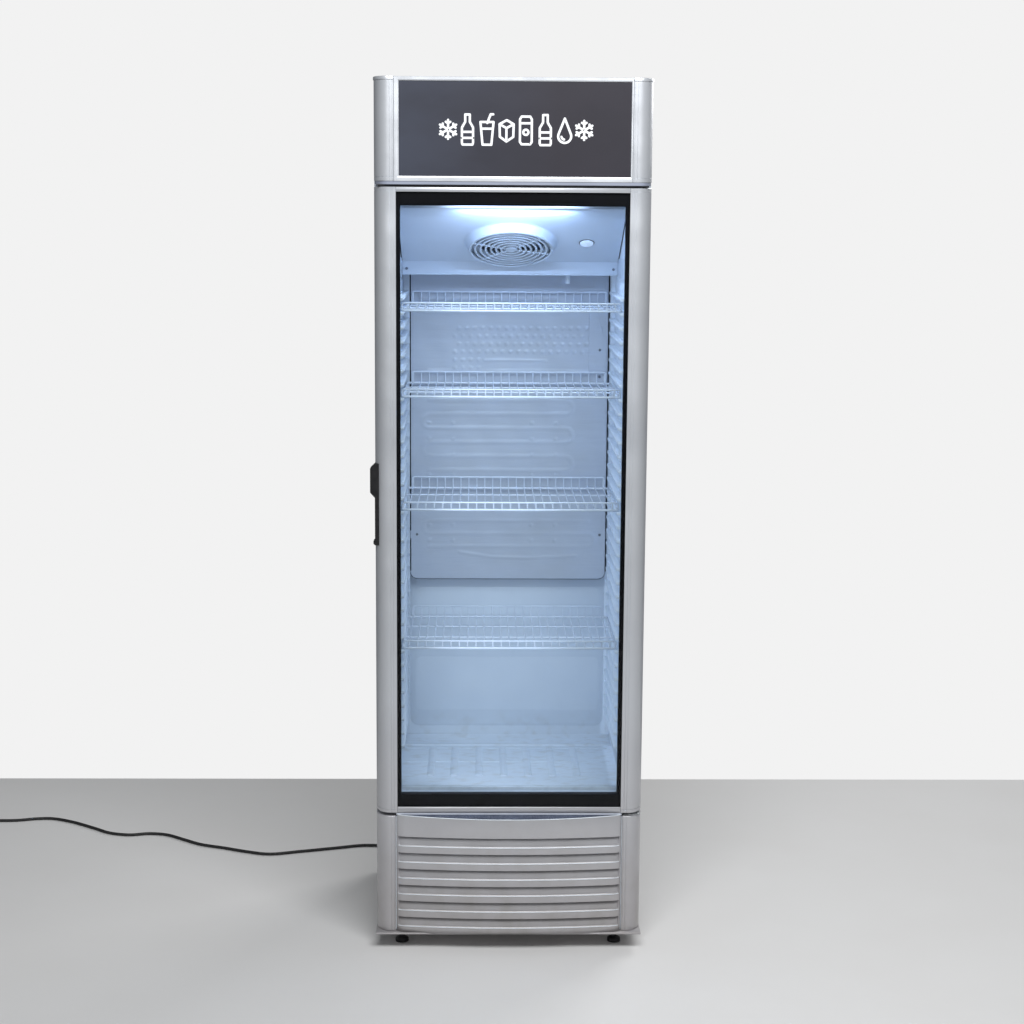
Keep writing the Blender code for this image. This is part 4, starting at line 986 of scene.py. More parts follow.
def make_sign_graphics():
    """A row of plain drink and cold symbols in place of lettering."""
    middle, size, pitch = (SIGN[0].z + SIGN[1].z) / 2, 0.0360, 0.0427
    strokes = Strokes(SIGN[0].y - 0.0002, 0.0050)
    row = (SNOWFLAKE, BOTTLE, TUMBLER, ICE, CAN, BOTTLE, DROP, SNOWFLAKE)
    start = 0.0055 - pitch * (len(row) - 1) / 2
    for number, lines in enumerate(row):
        strokes.symbol(lines, start + pitch * number, middle, size * (0.62 if lines is SNOWFLAKE else 1.0))
    strokes.piece("sign_graphics", PRINT, slot="sign_face")


# ---- kick panel ---------------------------------------------------------------------------
KNEE, KICK_END = 0.240, HEADER_INNER - 0.0002  # the front bows up to the first X and then turns in


def bow(x):
    """Y of the kick panel's front at X."""
    shallow, tight = 0.015, 0.0120  # how deep the bow and the turned-in ends are
    across = min(abs(x), KICK_END)
    turn = min(1.0, max(0.0, (across - KNEE) / (KICK_END - KNEE)))
    return KICK[0].y + shallow * (across / KNEE) ** 2 + tight * (1.0 - math.sqrt(1.0 - turn * turn))


LOUVRES, LOUVRE_FIRST, LOUVRE_PITCH = 6, 0.0569, 0.0389
LOUVRE_HALF, LOUVRE_SOFT = 0.2585, 0.0036  # half a slot's width, and how long its ends run out


def rim_rise(x):
    """The panel's top edge is lowest in the middle and rises towards its ends."""
    return -0.0022 + 0.0062 * min(1.0, abs(x) / 0.255) ** 2


def louvre_rows():
    """(height, how far in) down the middle of the panel, and where the open slots are."""
    below = [(-0.0030, 0.0), (-0.0012, 0.0001), (-0.0003, 0.0007), (0.0, 0.0018), (0.0, 0.0036)]
    below += [(0.0003, 0.0042), (0.0012, 0.0047), (0.0050, 0.0053), (0.0120, 0.0064), (0.0208, 0.0076)]
    above = [(0.0222, 0.0078), (0.0222, 0.0010), (0.0228, 0.0002), (0.0240, 0.0)]
    rows = [(KICK[0].z, 0.0)]
    gaps = []
    for number in range(LOUVRES):
        bottom = LOUVRE_FIRST + LOUVRE_PITCH * number
        rows += [(bottom + z, depth) for z, depth in below]
        gaps.append(len(rows) - 1)
        rows += [(bottom + z, depth) for z, depth in above]
    top = KICK[1].z
    rows += [(top - 0.0018, 0.0), (top - 0.0005, 0.0004), (top, 0.0015)]
    rows += [(top, 0.0038), (top - 0.0016, 0.0044)]
    return rows, gaps


def make_kick_face():
    """One pressed sheet with six louvres; their floors turn up behind the slots and leave a gap above."""
    rows, gaps = louvre_rows()
    ends = [KNEE + (KICK_END - KNEE) * math.sin(math.radians(10.0 * step)) for step in range(1, 10)]
    soft = [LOUVRE_HALF - LOUVRE_SOFT * step / 4 for step in range(5)]
    half = sorted({*(KNEE * step / 14 for step in range(15)), *ends, *soft})
    across = [-x for x in reversed(half[1:])] + half
    points = []
    for z, depth in rows:
        for x in across:
            if z > KICK[1].z - 0.0019:  # the rim follows its own rise
                points.append((x, bow(x) + depth, z + rim_rise(x)))
            else:
                points.append((x, bow(x) + depth * ease(LOUVRE_HALF - abs(x), 0.0, LOUVRE_SOFT), z))

    def open_slot(row, column):
        return row in gaps and abs(across[column] + across[column + 1]) / 2 < LOUVRE_HALF - LOUVRE_SOFT

    mesh = bpy.data.meshes.new("kick_face")
    mesh.from_pydata(points, [], grid_faces(len(rows), len(across), open_slot))
    made = finish_piece("kick_face", mesh, SILVER, "cabinet", ("kick_panel",), "silver_trim", angle=40)
    thick = made.modifiers.new("Sheet", "SOLIDIFY")
    thick.thickness, thick.offset = 0.0012, -1.0
    make_kick_edges()


def make_kick_edges():
    """Bright beads along the rim, the louvres' lips and the joints beside the posts, as painted highlights on
    those edges.
    """
    top = KICK[1].z
    xs = [x / 1000 for x in range(-258, 259, 6)]
    rim = [(x, bow(x) + 0.0008, top + rim_rise(x) - 0.0002) for x in xs]
    runs = [(rim, 0.0009, False)]
    for number in range(LOUVRES):
        z = LOUVRE_FIRST + LOUVRE_PITCH * number
        runs.append(([(x, bow(x) + 0.0010, z - 0.0003) for x in xs], 0.0008, False))
    for side in (-1, 1):
        x, y = side * (HEADER_INNER - 0.0012), bow(0.262) + 0.0004
        runs.append(([(x, y, KICK[0].z + 0.003), (x, y, top - 0.002)], 0.0009, False))
    wires("kick_edges", runs, EDGE, slot="silver_trim", sides=2)


def make_kick_ledge():
    """The top of the kick panel: a dark textured slope in front of a straight strip kept pale with painted
    light.
    """
    edge, back, lip_back, top = -0.2612, -0.2395, -0.2160, KICK[1].z
    half = KICK[1].x - 0.0012
    xs = [half * step / 24 for step in range(-24, 25)]
    rings = []
    for x in xs:
        front = min(bow(x) + 0.0046, edge - 0.0006)
        z = top + rim_rise(x) - 0.0010
        rings.append([(x, front, z - 0.003), (x, front, z), (x, edge, top + 0.0033), (x, edge, z - 0.003)])
    Shape().loft(rings).piece("kick_wedge", SPECKLE, slot="silver_trim")
    # The strip has the bright wire coating as painted light, so it stays pale in the shade under the door.
    strip = Shape().box((-half, edge + GAP, top - 0.0030), (half, back, top + 0.0068))
    strip.piece("kick_strip_painted_light", WIRE, slot="silver_trim", bevel=0.0007)
    shelf = Shape().box((-half, back + 0.0003, top - 0.0050), (half, lip_back, top - 0.0020))
    shelf.piece("kick_lip", GREY, slot="grey_steel", bevel=0.0004)


# ---- door ---------------------------------------------------------------------------------
def make_handle():
    """Black pull let into the stile: a proud chamfered grip, a slim strip and a small toe."""
    low, high = HANDLE
    flush, toe = -(HALF_WIDTH - 0.0002), -0.3125
    grip_low, soft = 1.0716, 0.0008
    loop = [
        (high.x, low.z),
        (high.x, high.z),
        (flush, high.z),
        (low.x + 0.0012, high.z - 0.0095),
        (low.x, high.z - 0.0115),
        (low.x, grip_low + 0.0068),
        (low.x + 0.0012, grip_low + 0.0045),
        (flush, grip_low - 0.0060),
        (flush, low.z + 0.0115),
        (toe + soft, low.z + 0.0105),
        (toe, low.z + 0.0095),
        (toe, low.z + 0.0035),
        (toe + soft, low.z + 0.0028),
        (flush, low.z),
    ]
    shape = Shape().prism(loop, low.y, high.y, "Y")
    for rib in range(7):
        z = grip_low + 0.0140 + rib * 0.0066
        shape.box((low.x - 0.0003, low.y + 0.004, z - 0.0009), (low.x + 0.001, high.y - 0.004, z + 0.0009))
    shape.piece("door_pull", BLACK, "door", ("door_handle",), "black_plastic", bevel=0.0009, segments=3)


def make_door_border():
    """The black border behind the outer pane and the pale inner frame behind the inner one."""
    low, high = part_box("glass_spacer")
    outer = (low.x, low.z, high.x, high.z)
    section = [(0.0, high.y), (0.0, low.y), (0.93, low.y), (1.0, low.y + 0.0008), (1.0, high.y - 0.0008)]
    section.append((0.93, high.y))
    shape = Shape().window(outer, (-0.2503, 0.3720, 0.2503, 1.7207), section)
    shape.piece("pane_border", BORDER, "door", ("glass_spacer",), "black_plastic")
    low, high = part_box("door_inner_frame")
    outer = (low.x, low.z, high.x, high.z)
    middle = (low.y + high.y) / 2
    section = [(0.0, high.y), (0.0, low.y), (0.90, low.y), (0.98, low.y + 0.0015), (1.0, middle - 0.0008)]
    section += [(0.96, middle), (1.0, middle + 0.0008), (1.0, high.y - 0.0010), (0.93, high.y)]
    shape = Shape().window(outer, (-0.2526, 0.3705, 0.2526, 1.7222), section)
    shape.piece("inner_trim", VINYL, "door", ("door_inner_frame",), "white_plastic", angle=25)


# ---- shelves ------------------------------------------------------------------------------
def bent_wire(x, deck, front, back, fence, guard, radius):
    """One deck wire, turned up at both ends: side view arcs of a small radius."""
    turn = 0.0042
    side = [(front, deck + fence), (front, deck + turn)]
    side += arc((front + turn, deck + turn), turn, 180, 270, 4)[1:]
    side += arc((back - turn, deck + turn), turn, 270, 360, 4)
    side.append((back, deck + guard))
    return ([(x, y, z) for y, z in side], radius, False)


def make_shelf(number):
    """Wire shelf: close deck wires that turn up into a low fence in front and a taller guard behind."""
    low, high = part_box(f"shelf_{number}")
    thick = 0.0028
    deck = low.z + thick
    half, front, back = high.x - thick, low.y + thick, high.y - thick
    corner = rounded_rectangle(-half, front, half, back, 0.007, 5)
    runs = [([(x, y, deck - 0.0001) for x, y in corner], thick * 0.96, True)]
    pitch, count, fine = 0.0196, 12, 0.00145
    on_top = deck + 0.0012
    for step in range(-count, count + 1):
        runs.append(bent_wire(step * pitch, on_top, front - 0.0012, back - 0.0004, 0.0158, 0.0262, fine))
    for y in (front + 0.118, front + 0.236):
        runs.append(([(-half, y, deck - 0.0012), (half, y, deck - 0.0012)], 0.0019, False))
    fence = (front - 0.0006, deck + 0.0168, half - 0.0012)
    guard = (back - 0.0002, deck + 0.0272, count * pitch + 0.0030)  # taller, so it stays between the ledges
    for y, z, end in (fence, guard):
        drop = 0.0050
        path = [(-end, y, deck + 0.001), (-end, y, z - drop)]
        path += [(u, y, v) for u, v in arc((-end + drop, z - drop), drop, 180, 90, 4)[1:]]
        path += [(u, y, v) for u, v in arc((end - drop, z - drop), drop, 90, 0, 4)]
        path.append((end, y, deck + 0.001))
        runs.append((path, 0.0020, False))
    wires(f"wire_shelf_{number}", runs, WIRE, f"shelf_{number}", (f"shelf_{number}",), "white_wire")


# ---- inside the cabinet -------------------------------------------------------------------
RIBS = (-0.1850, -0.1300, -0.0700, -0.0110, 0.0470, 0.1050, 0.1640)
# (y, share of a rib's full height) along it
RIB_SWELL = ((-0.1312, 0.25), (-0.1300, 1.15), (-0.1270, 1.0), (0.104, 1.0), (0.113, 0.8), (0.118, 0.25))


def make_liner_details():
    """Floor ribs, a drain trough, raised back and wall panels."""
    floor = Shape()
    for x in RIBS:
        rings = []
        for y, share in RIB_SWELL:
            section = arc((0.0, 0.0), 1.0, 180, 0, 8)
            rings.append([(x + 0.0092 * u, y, CAVITY_LOW - 0.0006 + 0.0032 * share * v) for u, v in section])
        floor.loft(rings)
    for y in (-0.0130, 0.1050):
        floor.box((-0.250, y - 0.0012, CAVITY_LOW - 0.0003), (0.250, y + 0.0012, CAVITY_LOW + 0.0015))
    floor.piece("floor_ribs", WHITE, slot="white_plastic")
    ends = Shape()
    for x in RIBS:
        ends.box((x - 0.0078, -0.1322, CAVITY_LOW - 0.0003), (x + 0.0078, -0.1296, CAVITY_LOW + 0.0030))
    ends.piece("rib_ends", WIRE, slot="white_plastic", bevel=0.0008)
    profile = [(0.130, 0.0), (0.1312, 0.0030), (0.195, 0.0034), (0.2085, 0.0085)]
    profile += [(0.2085, -0.0004), (0.130, -0.0004)]
    half = CAVITY_HALF - 0.001
    trough = Shape().prism([(y, CAVITY_LOW + z) for y, z in profile], -half, half, "X")
    trough.piece("floor_trough", WHITE, slot="white_plastic", bevel=0.0008)
    back = Shape()
    y = CAVITY_BACK
    outer = rounded_rectangle(-0.246, CAVITY_LOW + 0.030, 0.246, 1.640, 0.022, 5)
    inner = rounded_rectangle(-0.240, CAVITY_LOW + 0.036, 0.240, 1.634, 0.018, 5)
    back.loft([[(u, y + 0.0004, v) for u, v in outer], [(u, y - 0.0030, v) for u, v in inner]])
    for low, high in ((0.448, 0.590), (0.606, 0.770)):
        outer = rounded_rectangle(-0.233, low, 0.233, high, 0.016, 4)
        inner = rounded_rectangle(-0.228, low + 0.005, 0.228, high - 0.005, 0.012, 4)
        back.loft([[(u, y - 0.0029, v) for u, v in outer], [(u, y - 0.0040, v) for u, v in inner]])
    back.piece("back_pressing", WHITE, slot="white_plastic", angle=50)
    for side, place in ((-1, "left"), (1, "right")):
        wall = Shape()
        for low, high in ((0.395, 0.424), (1.552, 1.600)):
            outer = rounded_rectangle(-0.188, low, 0.160, high, 0.008, 4)
            inner = rounded_rectangle(-0.184, low + 0.004, 0.156, high - 0.004, 0.006, 4)
            x = side * CAVITY_HALF
            foot = [(x + side * 0.0003, u, v) for u, v in outer]
            wall.loft([foot, [(x - side * 0.0022, u, v) for u, v in inner]])
        wall.piece(f"wall_pressing_{place}", WHITE, slot="white_plastic", angle=50)


def make_housing_details():
    """Screws, edge rods, the drain tube and dial marks on the sloping fan cover."""
    metal = Shape()
    lower_face = PANEL_LOW.y - 0.0002
    for x, z in ((-0.2490, 1.5710), (0.2490, 1.5710)):
        screw(metal, (x, lower_face, z), (0, -1, 0), 0.0034)
    metal.piece("cover_screws", SCREW, slot="zinc_steel")
    trim = Shape()
    for side in (-1, 1):
        x = side * (HOUSING[1].x - 0.0008)
        run = [(-0.181, 1.7160), tuple(PANEL_HIGH.yz), tuple(PANEL_LOW.yz), (PANEL_LOW.y, 1.5565)]
        for (y0, z0), (y1, z1) in zip(run, run[1:]):
            along = Vector((0.0, y1 - y0, z1 - z0))
            at = placed((x, y0, z0), along)
            trim.turned([(0.0011, 0.0), (0.0011, along.length)], at, 10)
    half = HOUSING[1].x - 0.0012
    at = placed((-half, PANEL_LOW.y - 0.0004, 1.5572), (1, 0, 0))
    trim.turned([(0.0012, 0.0), (0.0012, 2 * half)], at, 12)
    tube = [(0.0052, 0.0), (0.0052, 0.020), (0.0044, 0.0215), (0.0030, 0.0215)]
    trim.turned(tube, placed((0.1405, 0.128, 1.5570), (0, 0, -1)), 20)
    marks = placed(FAN + Vector((KNOB_MIDDLE.x, 0, 0)), OUT)
    trim.box((-0.006, -0.0330, 0.0), (0.006, -0.0318, 0.0004), marks)
    trim.box((-0.003, -0.0365, 0.0), (0.003, -0.0355, 0.0004), marks)
    trim.piece("cover_trim", WHITE, slot="white_plastic")
    # Black strips beside the cover's sloping sides, as painted shadow in the gaps to the walls.
    shadow_strip = Shape()
    for side in (-1, 1):
        x0, x1 = sorted((side * (HOUSING[1].x + GAP), side * (HOUSING[1].x + 0.0024)))
        loop = [(PANEL_HIGH.y, PANEL_HIGH.z), (PANEL_LOW.y, PANEL_LOW.z)]
        loop += [(PANEL_LOW.y + 0.0012, PANEL_LOW.z + 0.0028), (PANEL_HIGH.y + 0.0012, PANEL_HIGH.z + 0.0028)]
        shadow_strip.prism(loop, x0, x1, "X")
    shadow_strip.piece("cover_shadow_strip", BORDER, slot="black_plastic")
    # The lip beside the lamp glows with painted light from the lamp.
    glow = Shape()
    half = HOUSING[1].x - 0.0030
    loop = [(-0.1808, 1.7240), (-0.1816, 1.7240), (-0.1816, 1.7153), (PANEL_HIGH.y, PANEL_HIGH.z - 0.0009)]
    loop += [(PANEL_HIGH.y, PANEL_HIGH.z + 0.0001), (-0.1808, 1.7162)]
    glow.prism(loop, -half, half, "X")
    glow.piece("lamp_cover", LIT, slot="light_diffuser")


def make_guard():
    """Tapered drum; its face has seven rings of slots between four spokes and a small boss."""
    at = placed(FAN, OUT)
    face = 0.0205
    drum = [
        (0.0937, face - 0.0006),
        (0.0945, face),
        (0.0965, face),
        (0.0985, face - 0.0009),
        (0.0998, face - 0.0028),
        (0.1010, face - 0.0070),
        (0.1060, 0.0060),
        (0.1080, 0.0022),
        (0.1117, 0.0003),
        (0.1060, 0.0003),
        (0.0970, face - 0.0050),
        (0.0937, face - 0.0050),
    ]
    shape = Shape().turned(drum, at, 72, closed=True)
    high, low = face - 0.0007, face - 0.0048
    pitch, web = 0.01222, 0.0024
    for ring in range(6):
        radius = 0.0838 - ring * pitch
        section = [
            (radius - web + 0.0006, high),
            (radius + web - 0.0006, high),
            (radius + web, high - 0.0007),
            (radius + web, low),
            (radius - web, low),
            (radius - web, high - 0.0007),
        ]
        shape.turned(section, at, 64, closed=True)
    boss = [(0.0125, low), (0.0125, high - 0.0004), (0.0118, high + 0.0002), (0.0060, high + 0.0005)]
    shape.turned(boss, at, 48)
    for angle in (43, 160, 221, 344):
        turn = Matrix.Rotation(math.radians(angle), 4, "Z")
        shape.box((0.0100, -0.0021, low), (0.0950, 0.0021, high - 0.0001), at @ turn)
    shape.piece("guard_face", WHITE, "cabinet", ("fan_guard",), "white_plastic", angle=28)


def make_knob():
    """Shallow dial with a finger ridge, and a black ring round it as painted shade."""
    at = placed(FAN + Vector((KNOB_MIDDLE.x, 0, 0)), OUT)
    profile = [(0.0156, 0.0007), (0.0160, 0.0011), (0.0158, 0.0026)]
    profile += [(0.0148, 0.0038), (0.0120, 0.0043), (0.004, 0.0045)]
    shape = Shape().turned(profile, at, 48)
    ridge = [(-0.0120, 0.0034), (-0.0110, 0.0056), (0.0110, 0.0056), (0.0120, 0.0034)]
    turned = at @ Matrix.Rotation(math.radians(-90), 4, "Z")
    shape.prism(ridge, -0.0014, 0.0014, "Y", turned)
    shape.turned([(0.0038, -0.0098), (0.0038, 0.0010)], at, 20)
    shape.piece("dial", DIAL, "thermostat", ("thermostat_knob",), "white_plastic", bevel=0.0006)
    # A black ring round the dial, as painted shade in the gap to the cover.
    shadow_ring = [(0.0163, 0.0003), (0.0165, 0.0010), (0.0181, 0.0010), (0.0183, 0.0003)]
    Shape().turned(shadow_ring, at, 48, closed=True).piece("dial_shadow_ring", BLACK, slot="black_plastic")


def make_lamp():
    """A diffuser strip with end caps in a channel under the ceiling."""
    low, high = LAMP
    middle_z = low.z + 0.0048
    y0, y1 = low.y + 0.0022, high.y - 0.0022
    section = [(y0, middle_z + 0.001), (y0, middle_z)] + [
        ((y0 + y1) / 2 + (y1 - y0) / 2 * u, middle_z + 0.0044 * v) for u, v in arc((0, 0), 1.0, 180, 360, 10)
    ]
    section += [(y1, middle_z + 0.001)]
    lens = Shape().prism(section, -0.150, 0.165, "X")
    lens.piece("lamp_lens", LENS, "cabinet", ("interior_light",), "light_diffuser")
    body = Shape()
    wall, foot = 0.0020, low.z + 0.004
    channel = [(low.y, high.z), (low.y, foot), (low.y + wall, foot), (low.y + wall, high.z - wall)]
    channel += [(high.y - wall, high.z - wall), (high.y - wall, foot), (high.y, foot), (high.y, high.z)]
    body.prism(channel, low.x, high.x, "X")
    for x0, x1 in ((low.x, -0.1502), (0.1652, high.x)):
        body.box((x0, low.y + 0.0003, low.z + 0.0018), (x1, high.y - 0.0003, high.z - 0.0022))
    body.piece("lamp_channel", WHITE, slot="white_plastic", bevel=0.0006)


# ---- evaporator plate ---------------------------------------------------------------------
def near_path(x, z, path):
    """Distance from each point to a line of joined runs."""
    nearest = np.full(x.shape, 1.0)
    for (x0, z0), (x1, z1) in zip(path, path[1:]):
        run = np.array((x1 - x0, z1 - z0))
        length = run @ run
        share = np.clip(((x - x0) * run[0] + (z - z0) * run[1]) / length, 0.0, 1.0)
        nearest = np.minimum(nearest, np.hypot(x - x0 - share * run[0], z - z0 - share * run[1]))
    return nearest


def serpentine(x0, x1, low, high, runs):
    """A path back and forth across, with round turns."""
    path = []
    pitch = (high - low) / (runs - 1)
    for run in range(runs):
        z = low + run * pitch
        ends = (x0, x1) if run % 2 == 0 else (x1, x0)
        path += [(ends[0], z), (ends[1], z)]
        if run < runs - 1:
            way = 1 if run % 2 == 0 else -1
            bend = arc((ends[1], z + pitch / 2), pitch / 2, -90, 90, 6)[1:-1]
            path += [(ends[1] + way * (u - ends[1]), v) for u, v in bend]
    return path


def plate_relief(x, z):
    """How far the plate's surface stands out: pressed channels and rows of bonding dimples."""
    relief = np.zeros(x.shape)

    def channel(path, width, height):
        gap = near_path(x, z, path)
        return height * np.clip(1.0 - (gap / width) ** 2, 0.0, 1.0) ** 0.8

    for path, width, height in (
        (serpentine(-0.195, 0.141, 1.072, 1.247, 6), 0.0062, 0.0009),
        (serpentine(-0.195, 0.200, 0.880, 0.945, 3), 0.0058, 0.0008),
        (serpentine(-0.205, 0.120, 1.462, 1.560, 4), 0.0058, 0.0009),
        ([(-0.120, 0.865), (-0.040, 0.853), (0.060, 0.851), (0.170, 0.856)], 0.0040, 0.0012),
        ([(-0.200, 1.318), (0.205, 1.318)], 0.0050, 0.0010),
        ([(-0.060, 1.345), (0.090, 1.345)], 0.0030, 0.0014),
    ):
        relief = np.maximum(relief, channel(path, width, height))
    dimples = []
    for row, height in enumerate((1.366, 1.385, 1.4045, 1.424)):
        shift = 0.0 if row % 2 == 0 else 0.0098
        dimples += [(-0.133 + 0.0196 * step + shift, height) for step in range(18)]
    for height in (1.3265, 1.3460):
        dimples += [(-0.133 + 0.0196 * step, height) for step in range(4)]
    for px in (-0.1960, -0.1370, 0.0580, 0.1170):
        dimples += [(px, height) for height in (0.895, 0.935, 1.020, 1.060, 1.110, 1.150, 1.190)]
    for px, pz in dimples:
        far = ((x - px) ** 2 + (z - pz) ** 2) / 0.0036**2
        relief = np.maximum(relief, 0.0017 * np.exp(-far))
    return relief


def make_plate():
    """The roll-bonded plate behind the shelves, with a rolled rim coloured black as painted shade, a corner
    cover and its screws.
    """
    low, high = PLATE
    columns, rows, corner = 171, 288, 0.0175
    across = np.linspace(-1.0, 1.0, columns)
    heights = low.z + (high.z - low.z) * np.linspace(0.0, 1.0, rows)
    drop = np.clip(low.z + corner - heights, 0.0, corner)
    half = high.x - corner + np.sqrt(corner**2 - drop**2)
    x = half[:, None] * across[None, :]
    z = np.repeat(heights[:, None], columns, axis=1)
    wave = 0.0007 * np.sin(x * 31.0 + 1.1) * np.sin(z * 17.0) + 0.0004 * np.sin(x * 73.0 + z * 41.0)
    edge = np.clip((high.x - np.abs(x)) / 0.03, 0.0, 1.0) * np.clip((z - low.z) / 0.03, 0.0, 1.0)
    y = low.y - plate_relief(x, z) - wave * edge
    points = np.stack((x, y, z), axis=2).reshape(-1, 3).tolist()
    mesh = bpy.data.meshes.new("cold_plate")
    mesh.from_pydata(points, [], grid_faces(rows, columns))
    plate = ("evaporator_plate",)
    made = finish_piece("cold_plate", mesh, ALUMINIUM, "cabinet", plate, "plate_aluminium", angle=60)
    sheet = made.modifiers.new("Sheet", "SOLIDIFY")
    sheet.thickness, sheet.offset = 0.0012, 1.0
    edge_path = [(high.x, high.z)]
    edge_path += list(reversed(arc((high.x - corner, low.z + corner), corner, -90, 0, 6)))
    edge_path += list(reversed(arc((-high.x + corner, low.z + corner), corner, 180, 270, 6)))
    edge_path += [(-high.x, high.z)]
    # The rim is black as painted shade along the plate's edge.
    rim = [([(u, low.y, v) for u, v in edge_path], 0.0012, False)]
    wires("plate_rim_painted_shade", rim, BORDER, slot="black_plastic")
    make_plate_fittings()


def make_plate_fittings():
    """Black strips as painted shadow along the plate's sides, corner strips, tabs, a corner cover and screws
    round the plate.
    """
    low, high = PLATE
    # Black strips beside the plate's edges, as painted shadow in the gap to the walls; they break at the
    # screws.
    plate_shadow_strips = Shape()
    screws_at = 0.9095
    for side in (-1, 1):
        x0, x1 = (-0.2440, -0.2414) if side < 0 else (high.x + 0.0002, high.x + 0.0030)
        for bottom, top in ((low.z + 0.020, screws_at - 0.010), (screws_at + 0.010, high.z - 0.010)):
            plate_shadow_strips.box((x0, low.y - 0.0020, bottom), (x1, low.y + 0.0030, top))
    plate_shadow_strips.piece("plate_edge_shadow_strip", BORDER, slot="black_plastic", bevel=0.0006)
    strips = Shape()
    for x0, x1 in ((-0.2616, -0.2443), (0.2490, 0.2616)):
        strips.box((x0, low.y - 0.0036, 0.404), (x1, low.y - 0.0004, 1.600))
    strips.piece("corner_strips", WALL, slot="white_plastic", bevel=0.0006)
    tabs = Shape()
    for side in (-1, 1):
        x0, x1 = sorted((side * (high.x - 0.006), side * (high.x + 0.0150)))
        tabs.box((x0, low.y + 0.0022, screws_at - 0.008), (x1, low.y + 0.0036, screws_at + 0.008))
    cover = [(0.196, 1.470), (0.196, 1.290), (0.2385, 1.290), (0.2385, 1.392), (0.214, 1.470)]
    tabs.prism(cover, low.y - 0.0034, low.y - 0.0022, "Y")
    tabs.piece("plate_tabs", ALUMINIUM, slot="plate_aluminium", bevel=0.0005)
    heads = Shape()
    for x, z in ((-0.2270, screws_at), (0.2290, screws_at)):
        screw(heads, (x, low.y - 0.0004, z), (0, -1, 0), 0.0036)
    for x, z in ((0.2235, 1.372), (0.2235, 1.306)):
        screw(heads, (x, low.y - 0.0036, z), (0, -1, 0), 0.0034)
    heads.piece("plate_screws", SCREW, slot="zinc_steel")


# ---- back, top and machine bay ------------------------------------------------------------
def make_outside_details():
    """Screws and pressings on the sheets that the photograph doesn't show."""
    low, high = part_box("back_panel")
    ribs = Shape()
    for middle in (0.50, 0.76, 1.02, 1.28, 1.54):
        rings = []
        for grow, y in ((0.0, high.y - 0.0002), (-0.002, high.y + 0.0012), (-0.005, high.y + 0.0024)):
            wide, tall = 0.235 + grow, 0.022 + grow
            loop = rounded_rectangle(-wide, middle - tall, wide, middle + tall, 0.016 + grow)
            rings.append([(u, y, v) for u, v in loop])
        ribs.loft(rings)
    ribs.piece("back_ribs", ZINC, slot="zinc_steel")
    heads = Shape()
    for x in (-0.298, 0.298):
        for step in range(8):
            screw(heads, (x, high.y, 0.345 + 0.2045 * step), (0, 1, 0))
    for x in (-0.15, 0.0, 0.15):
        for z in (low.z + 0.010, high.z - 0.010, 0.305):
            screw(heads, (x, high.y, z), (0, 1, 0))
    for x in (-0.295, 0.295):
        for z in (0.060, 0.300):
            screw(heads, (x, high.y, z), (0, 1, 0))
    for side in (-1, 1):
        for z in (0.075, 0.29, 1.77):
            for y in (-0.175, 0.25):
                screw(heads, (side * 0.309, y, z), (side, 0, 0), 0.0038, 0.0012)
        for z in (1.83, 1.965):
            screw(heads, (side * 0.3085, -0.155, z), (side, 0, 0), 0.0036, 0.0012)
        for y in (-0.06, 0.10, 0.26):
            screw(heads, (side * 0.29, y, 1.806), (0, 0, 1))
    for x in (-0.2, 0.0, 0.2):
        screw(heads, (x, 0.270, 1.806), (0, 0, 1))
        screw(heads, (x, -0.125, 1.84), (0, 1, 0), 0.0036)
        screw(heads, (x, -0.125, 1.96), (0, 1, 0), 0.0036)
    heads.piece("cabinet_screws", SCREW, slot="zinc_steel")


def make_condenser_fins():
    """Thin upright fins across the condenser's tubes, with a plate at each end."""
    low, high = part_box("condenser_coil")
    fins = Shape()
    count = 42
    for number in range(count):
        x = low.x + 0.012 + (high.x - low.x - 0.024) * number / (count - 1)
        fins.box((x - 0.00018, low.y + 0.003, low.z + 0.004), (x + 0.00018, high.y - 0.003, high.z - 0.004))
    for x in (low.x + 0.0095, high.x - 0.0105):
        fins.box((x, low.y + 0.001, low.z + 0.002), (x + 0.0010, high.y - 0.001, high.z - 0.002))
    fins.piece("condenser_fins", ALUMINIUM, slot="zinc_steel")


# ---- the CAD nodes that stay --------------------------------------------------------------
# (material, width of the rounded edges, nodes). None leaves a node's mesh as it is.
KEPT = (
    (SILVER, 0.0008, ("door_rail_bottom", "door_rail_top")),
    (SILVER, 0.0009, ("base_plate",)),
    (PANE, 0.0, ("outer_glass", "inner_glass")),
    (VINYL, 0.0016, ("door_gasket",)),
    (WHITE, 0.0004, ("front_frame",)),
    (WHITE, None, ("fan_housing",)),
    (WALL, 0.0, ("inner_liner",)),
    (WALL, 0.0020, ("shelf_support_left", "shelf_support_right")),
    (FOAM, 0.0, ("insulation_core",)),
    (GREY, 0.0004, ("side_panel_left", "side_panel_right", "rear_grille", "condenser_shroud")),
    (GREY, 0.0005, ("top_panel",)),
    (GREY, 0.0006, ("canopy_housing",)),
    (ZINC, 0.0004, ("back_panel", "lower_hinge_bracket")),
    (ENAMEL, 0.0, ("condenser_coil",)),
    # The upper hinge bar is black as painted shade, so the gap between the door's head and the header reads
    # dark.
    (ENAMEL, 0.0004, ("upper_hinge_bar",)),
    (ENAMEL, 0.0006, ("condenser_fan_motor", "evaporator_fan_motor")),
    (ENAMEL, 0.0008, ("compressor",)),
    (BLACK, 0.0005, ("electrical_box", "condenser_fan_blade", "evaporator_fan_blade")),
    (BLACK, 0.0005, ("foot_front_left", "foot_front_right", "foot_rear_left", "foot_rear_right")),
    (BLACK, 0.0006, ("drip_tray",)),
    (COPPER, 0.0, ("discharge_pipe",)),
)


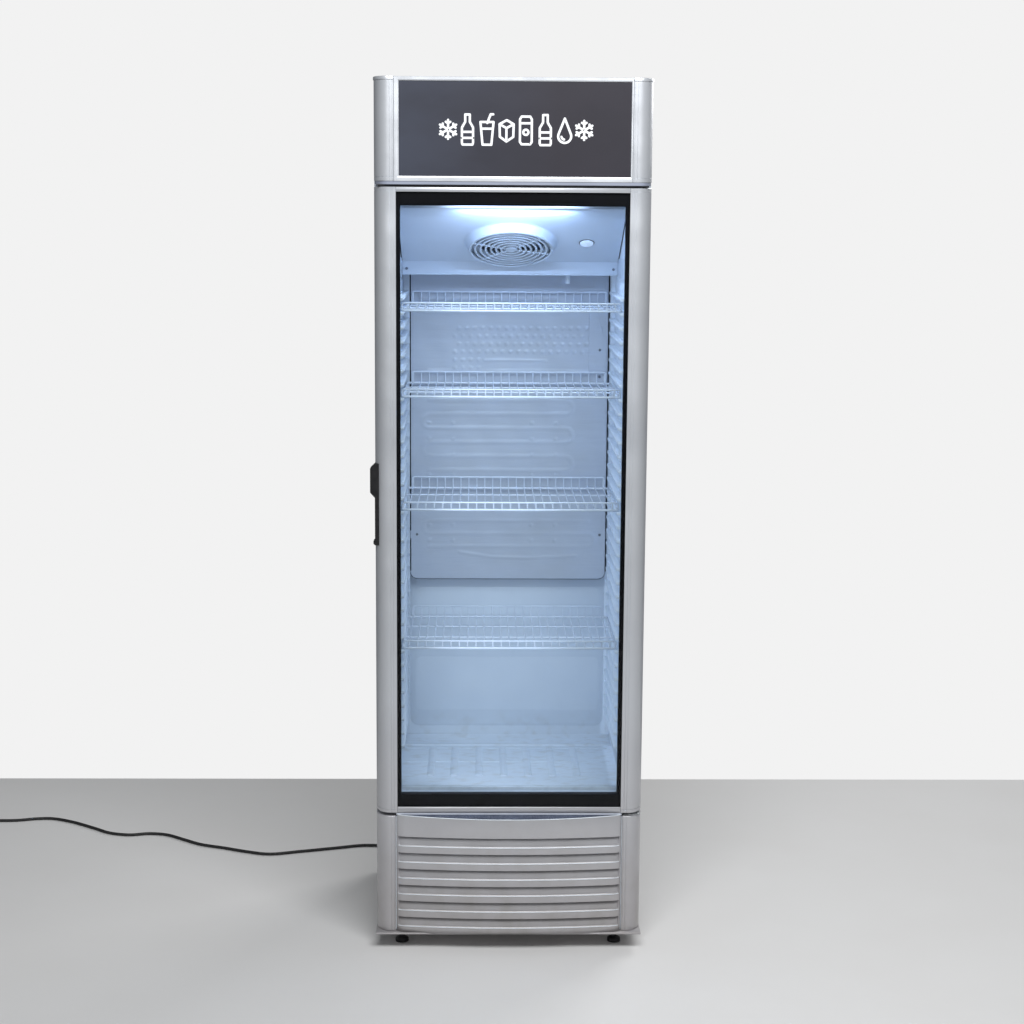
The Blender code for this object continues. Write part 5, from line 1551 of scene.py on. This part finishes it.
def smooth_group():
    """A node group that shades smooth except across sharp corners."""
    group = bpy.data.node_groups.new("smooth_skin", "GeometryNodeTree")
    group.interface.new_socket("Geometry", in_out="INPUT", socket_type="NodeSocketGeometry")
    group.interface.new_socket("Geometry", in_out="OUTPUT", socket_type="NodeSocketGeometry")
    entry, exit_ = group.nodes.new("NodeGroupInput"), group.nodes.new("NodeGroupOutput")
    angle = group.nodes.new("GeometryNodeInputMeshEdgeAngle")
    sharp = group.nodes.new("FunctionNodeCompare")
    sharp.data_type, sharp.operation = "FLOAT", "GREATER_THAN"
    sharp.inputs[1].default_value = math.radians(38)
    edges = group.nodes.new("GeometryNodeSetShadeSmooth")
    edges.domain = "EDGE"
    edges.inputs["Shade Smooth"].default_value = False
    faces = group.nodes.new("GeometryNodeSetShadeSmooth")
    faces.domain = "FACE"
    group.links.new(angle.outputs["Unsigned Angle"], sharp.inputs[0])
    group.links.new(entry.outputs[0], faces.inputs["Geometry"])
    group.links.new(faces.outputs[0], edges.inputs["Geometry"])
    group.links.new(sharp.outputs[0], edges.inputs["Selection"])
    group.links.new(edges.outputs[0], exit_.inputs[0])
    return group


def dress_kept_node(node, paint, edge, group):
    for place in node.material_slots:
        place.material = paint
    if edge is None:
        return
    if edge:
        weld = node.modifiers.new("Weld", "WELD")
        weld.merge_threshold = 0.00002
        flat = node.modifiers.new("Flat faces", "DECIMATE")
        flat.decimate_type = "DISSOLVE"
        flat.angle_limit = math.radians(1.0)
        round_edges(node, edge)
    skin = node.modifiers.new("Smooth skin", "NODES")
    skin.node_group = group


def dress_kept_nodes():
    """Gives the CAD nodes that show their materials and rounded edges."""
    group = smooth_group()
    for paint, edge, names in KEPT:
        for name in names:
            dress_kept_node(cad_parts[name], paint, edge, group)


make_belt()
make_posts()
make_sign_surround()
make_sign_graphics()
make_kick_face()
make_kick_ledge()
make_handle()
make_door_border()
for shelf_number in range(1, 5):
    make_shelf(shelf_number)
make_liner_details()
make_housing_details()
make_guard()
make_knob()
make_lamp()
make_plate()
make_outside_details()
make_condenser_fins()
dress_kept_nodes()
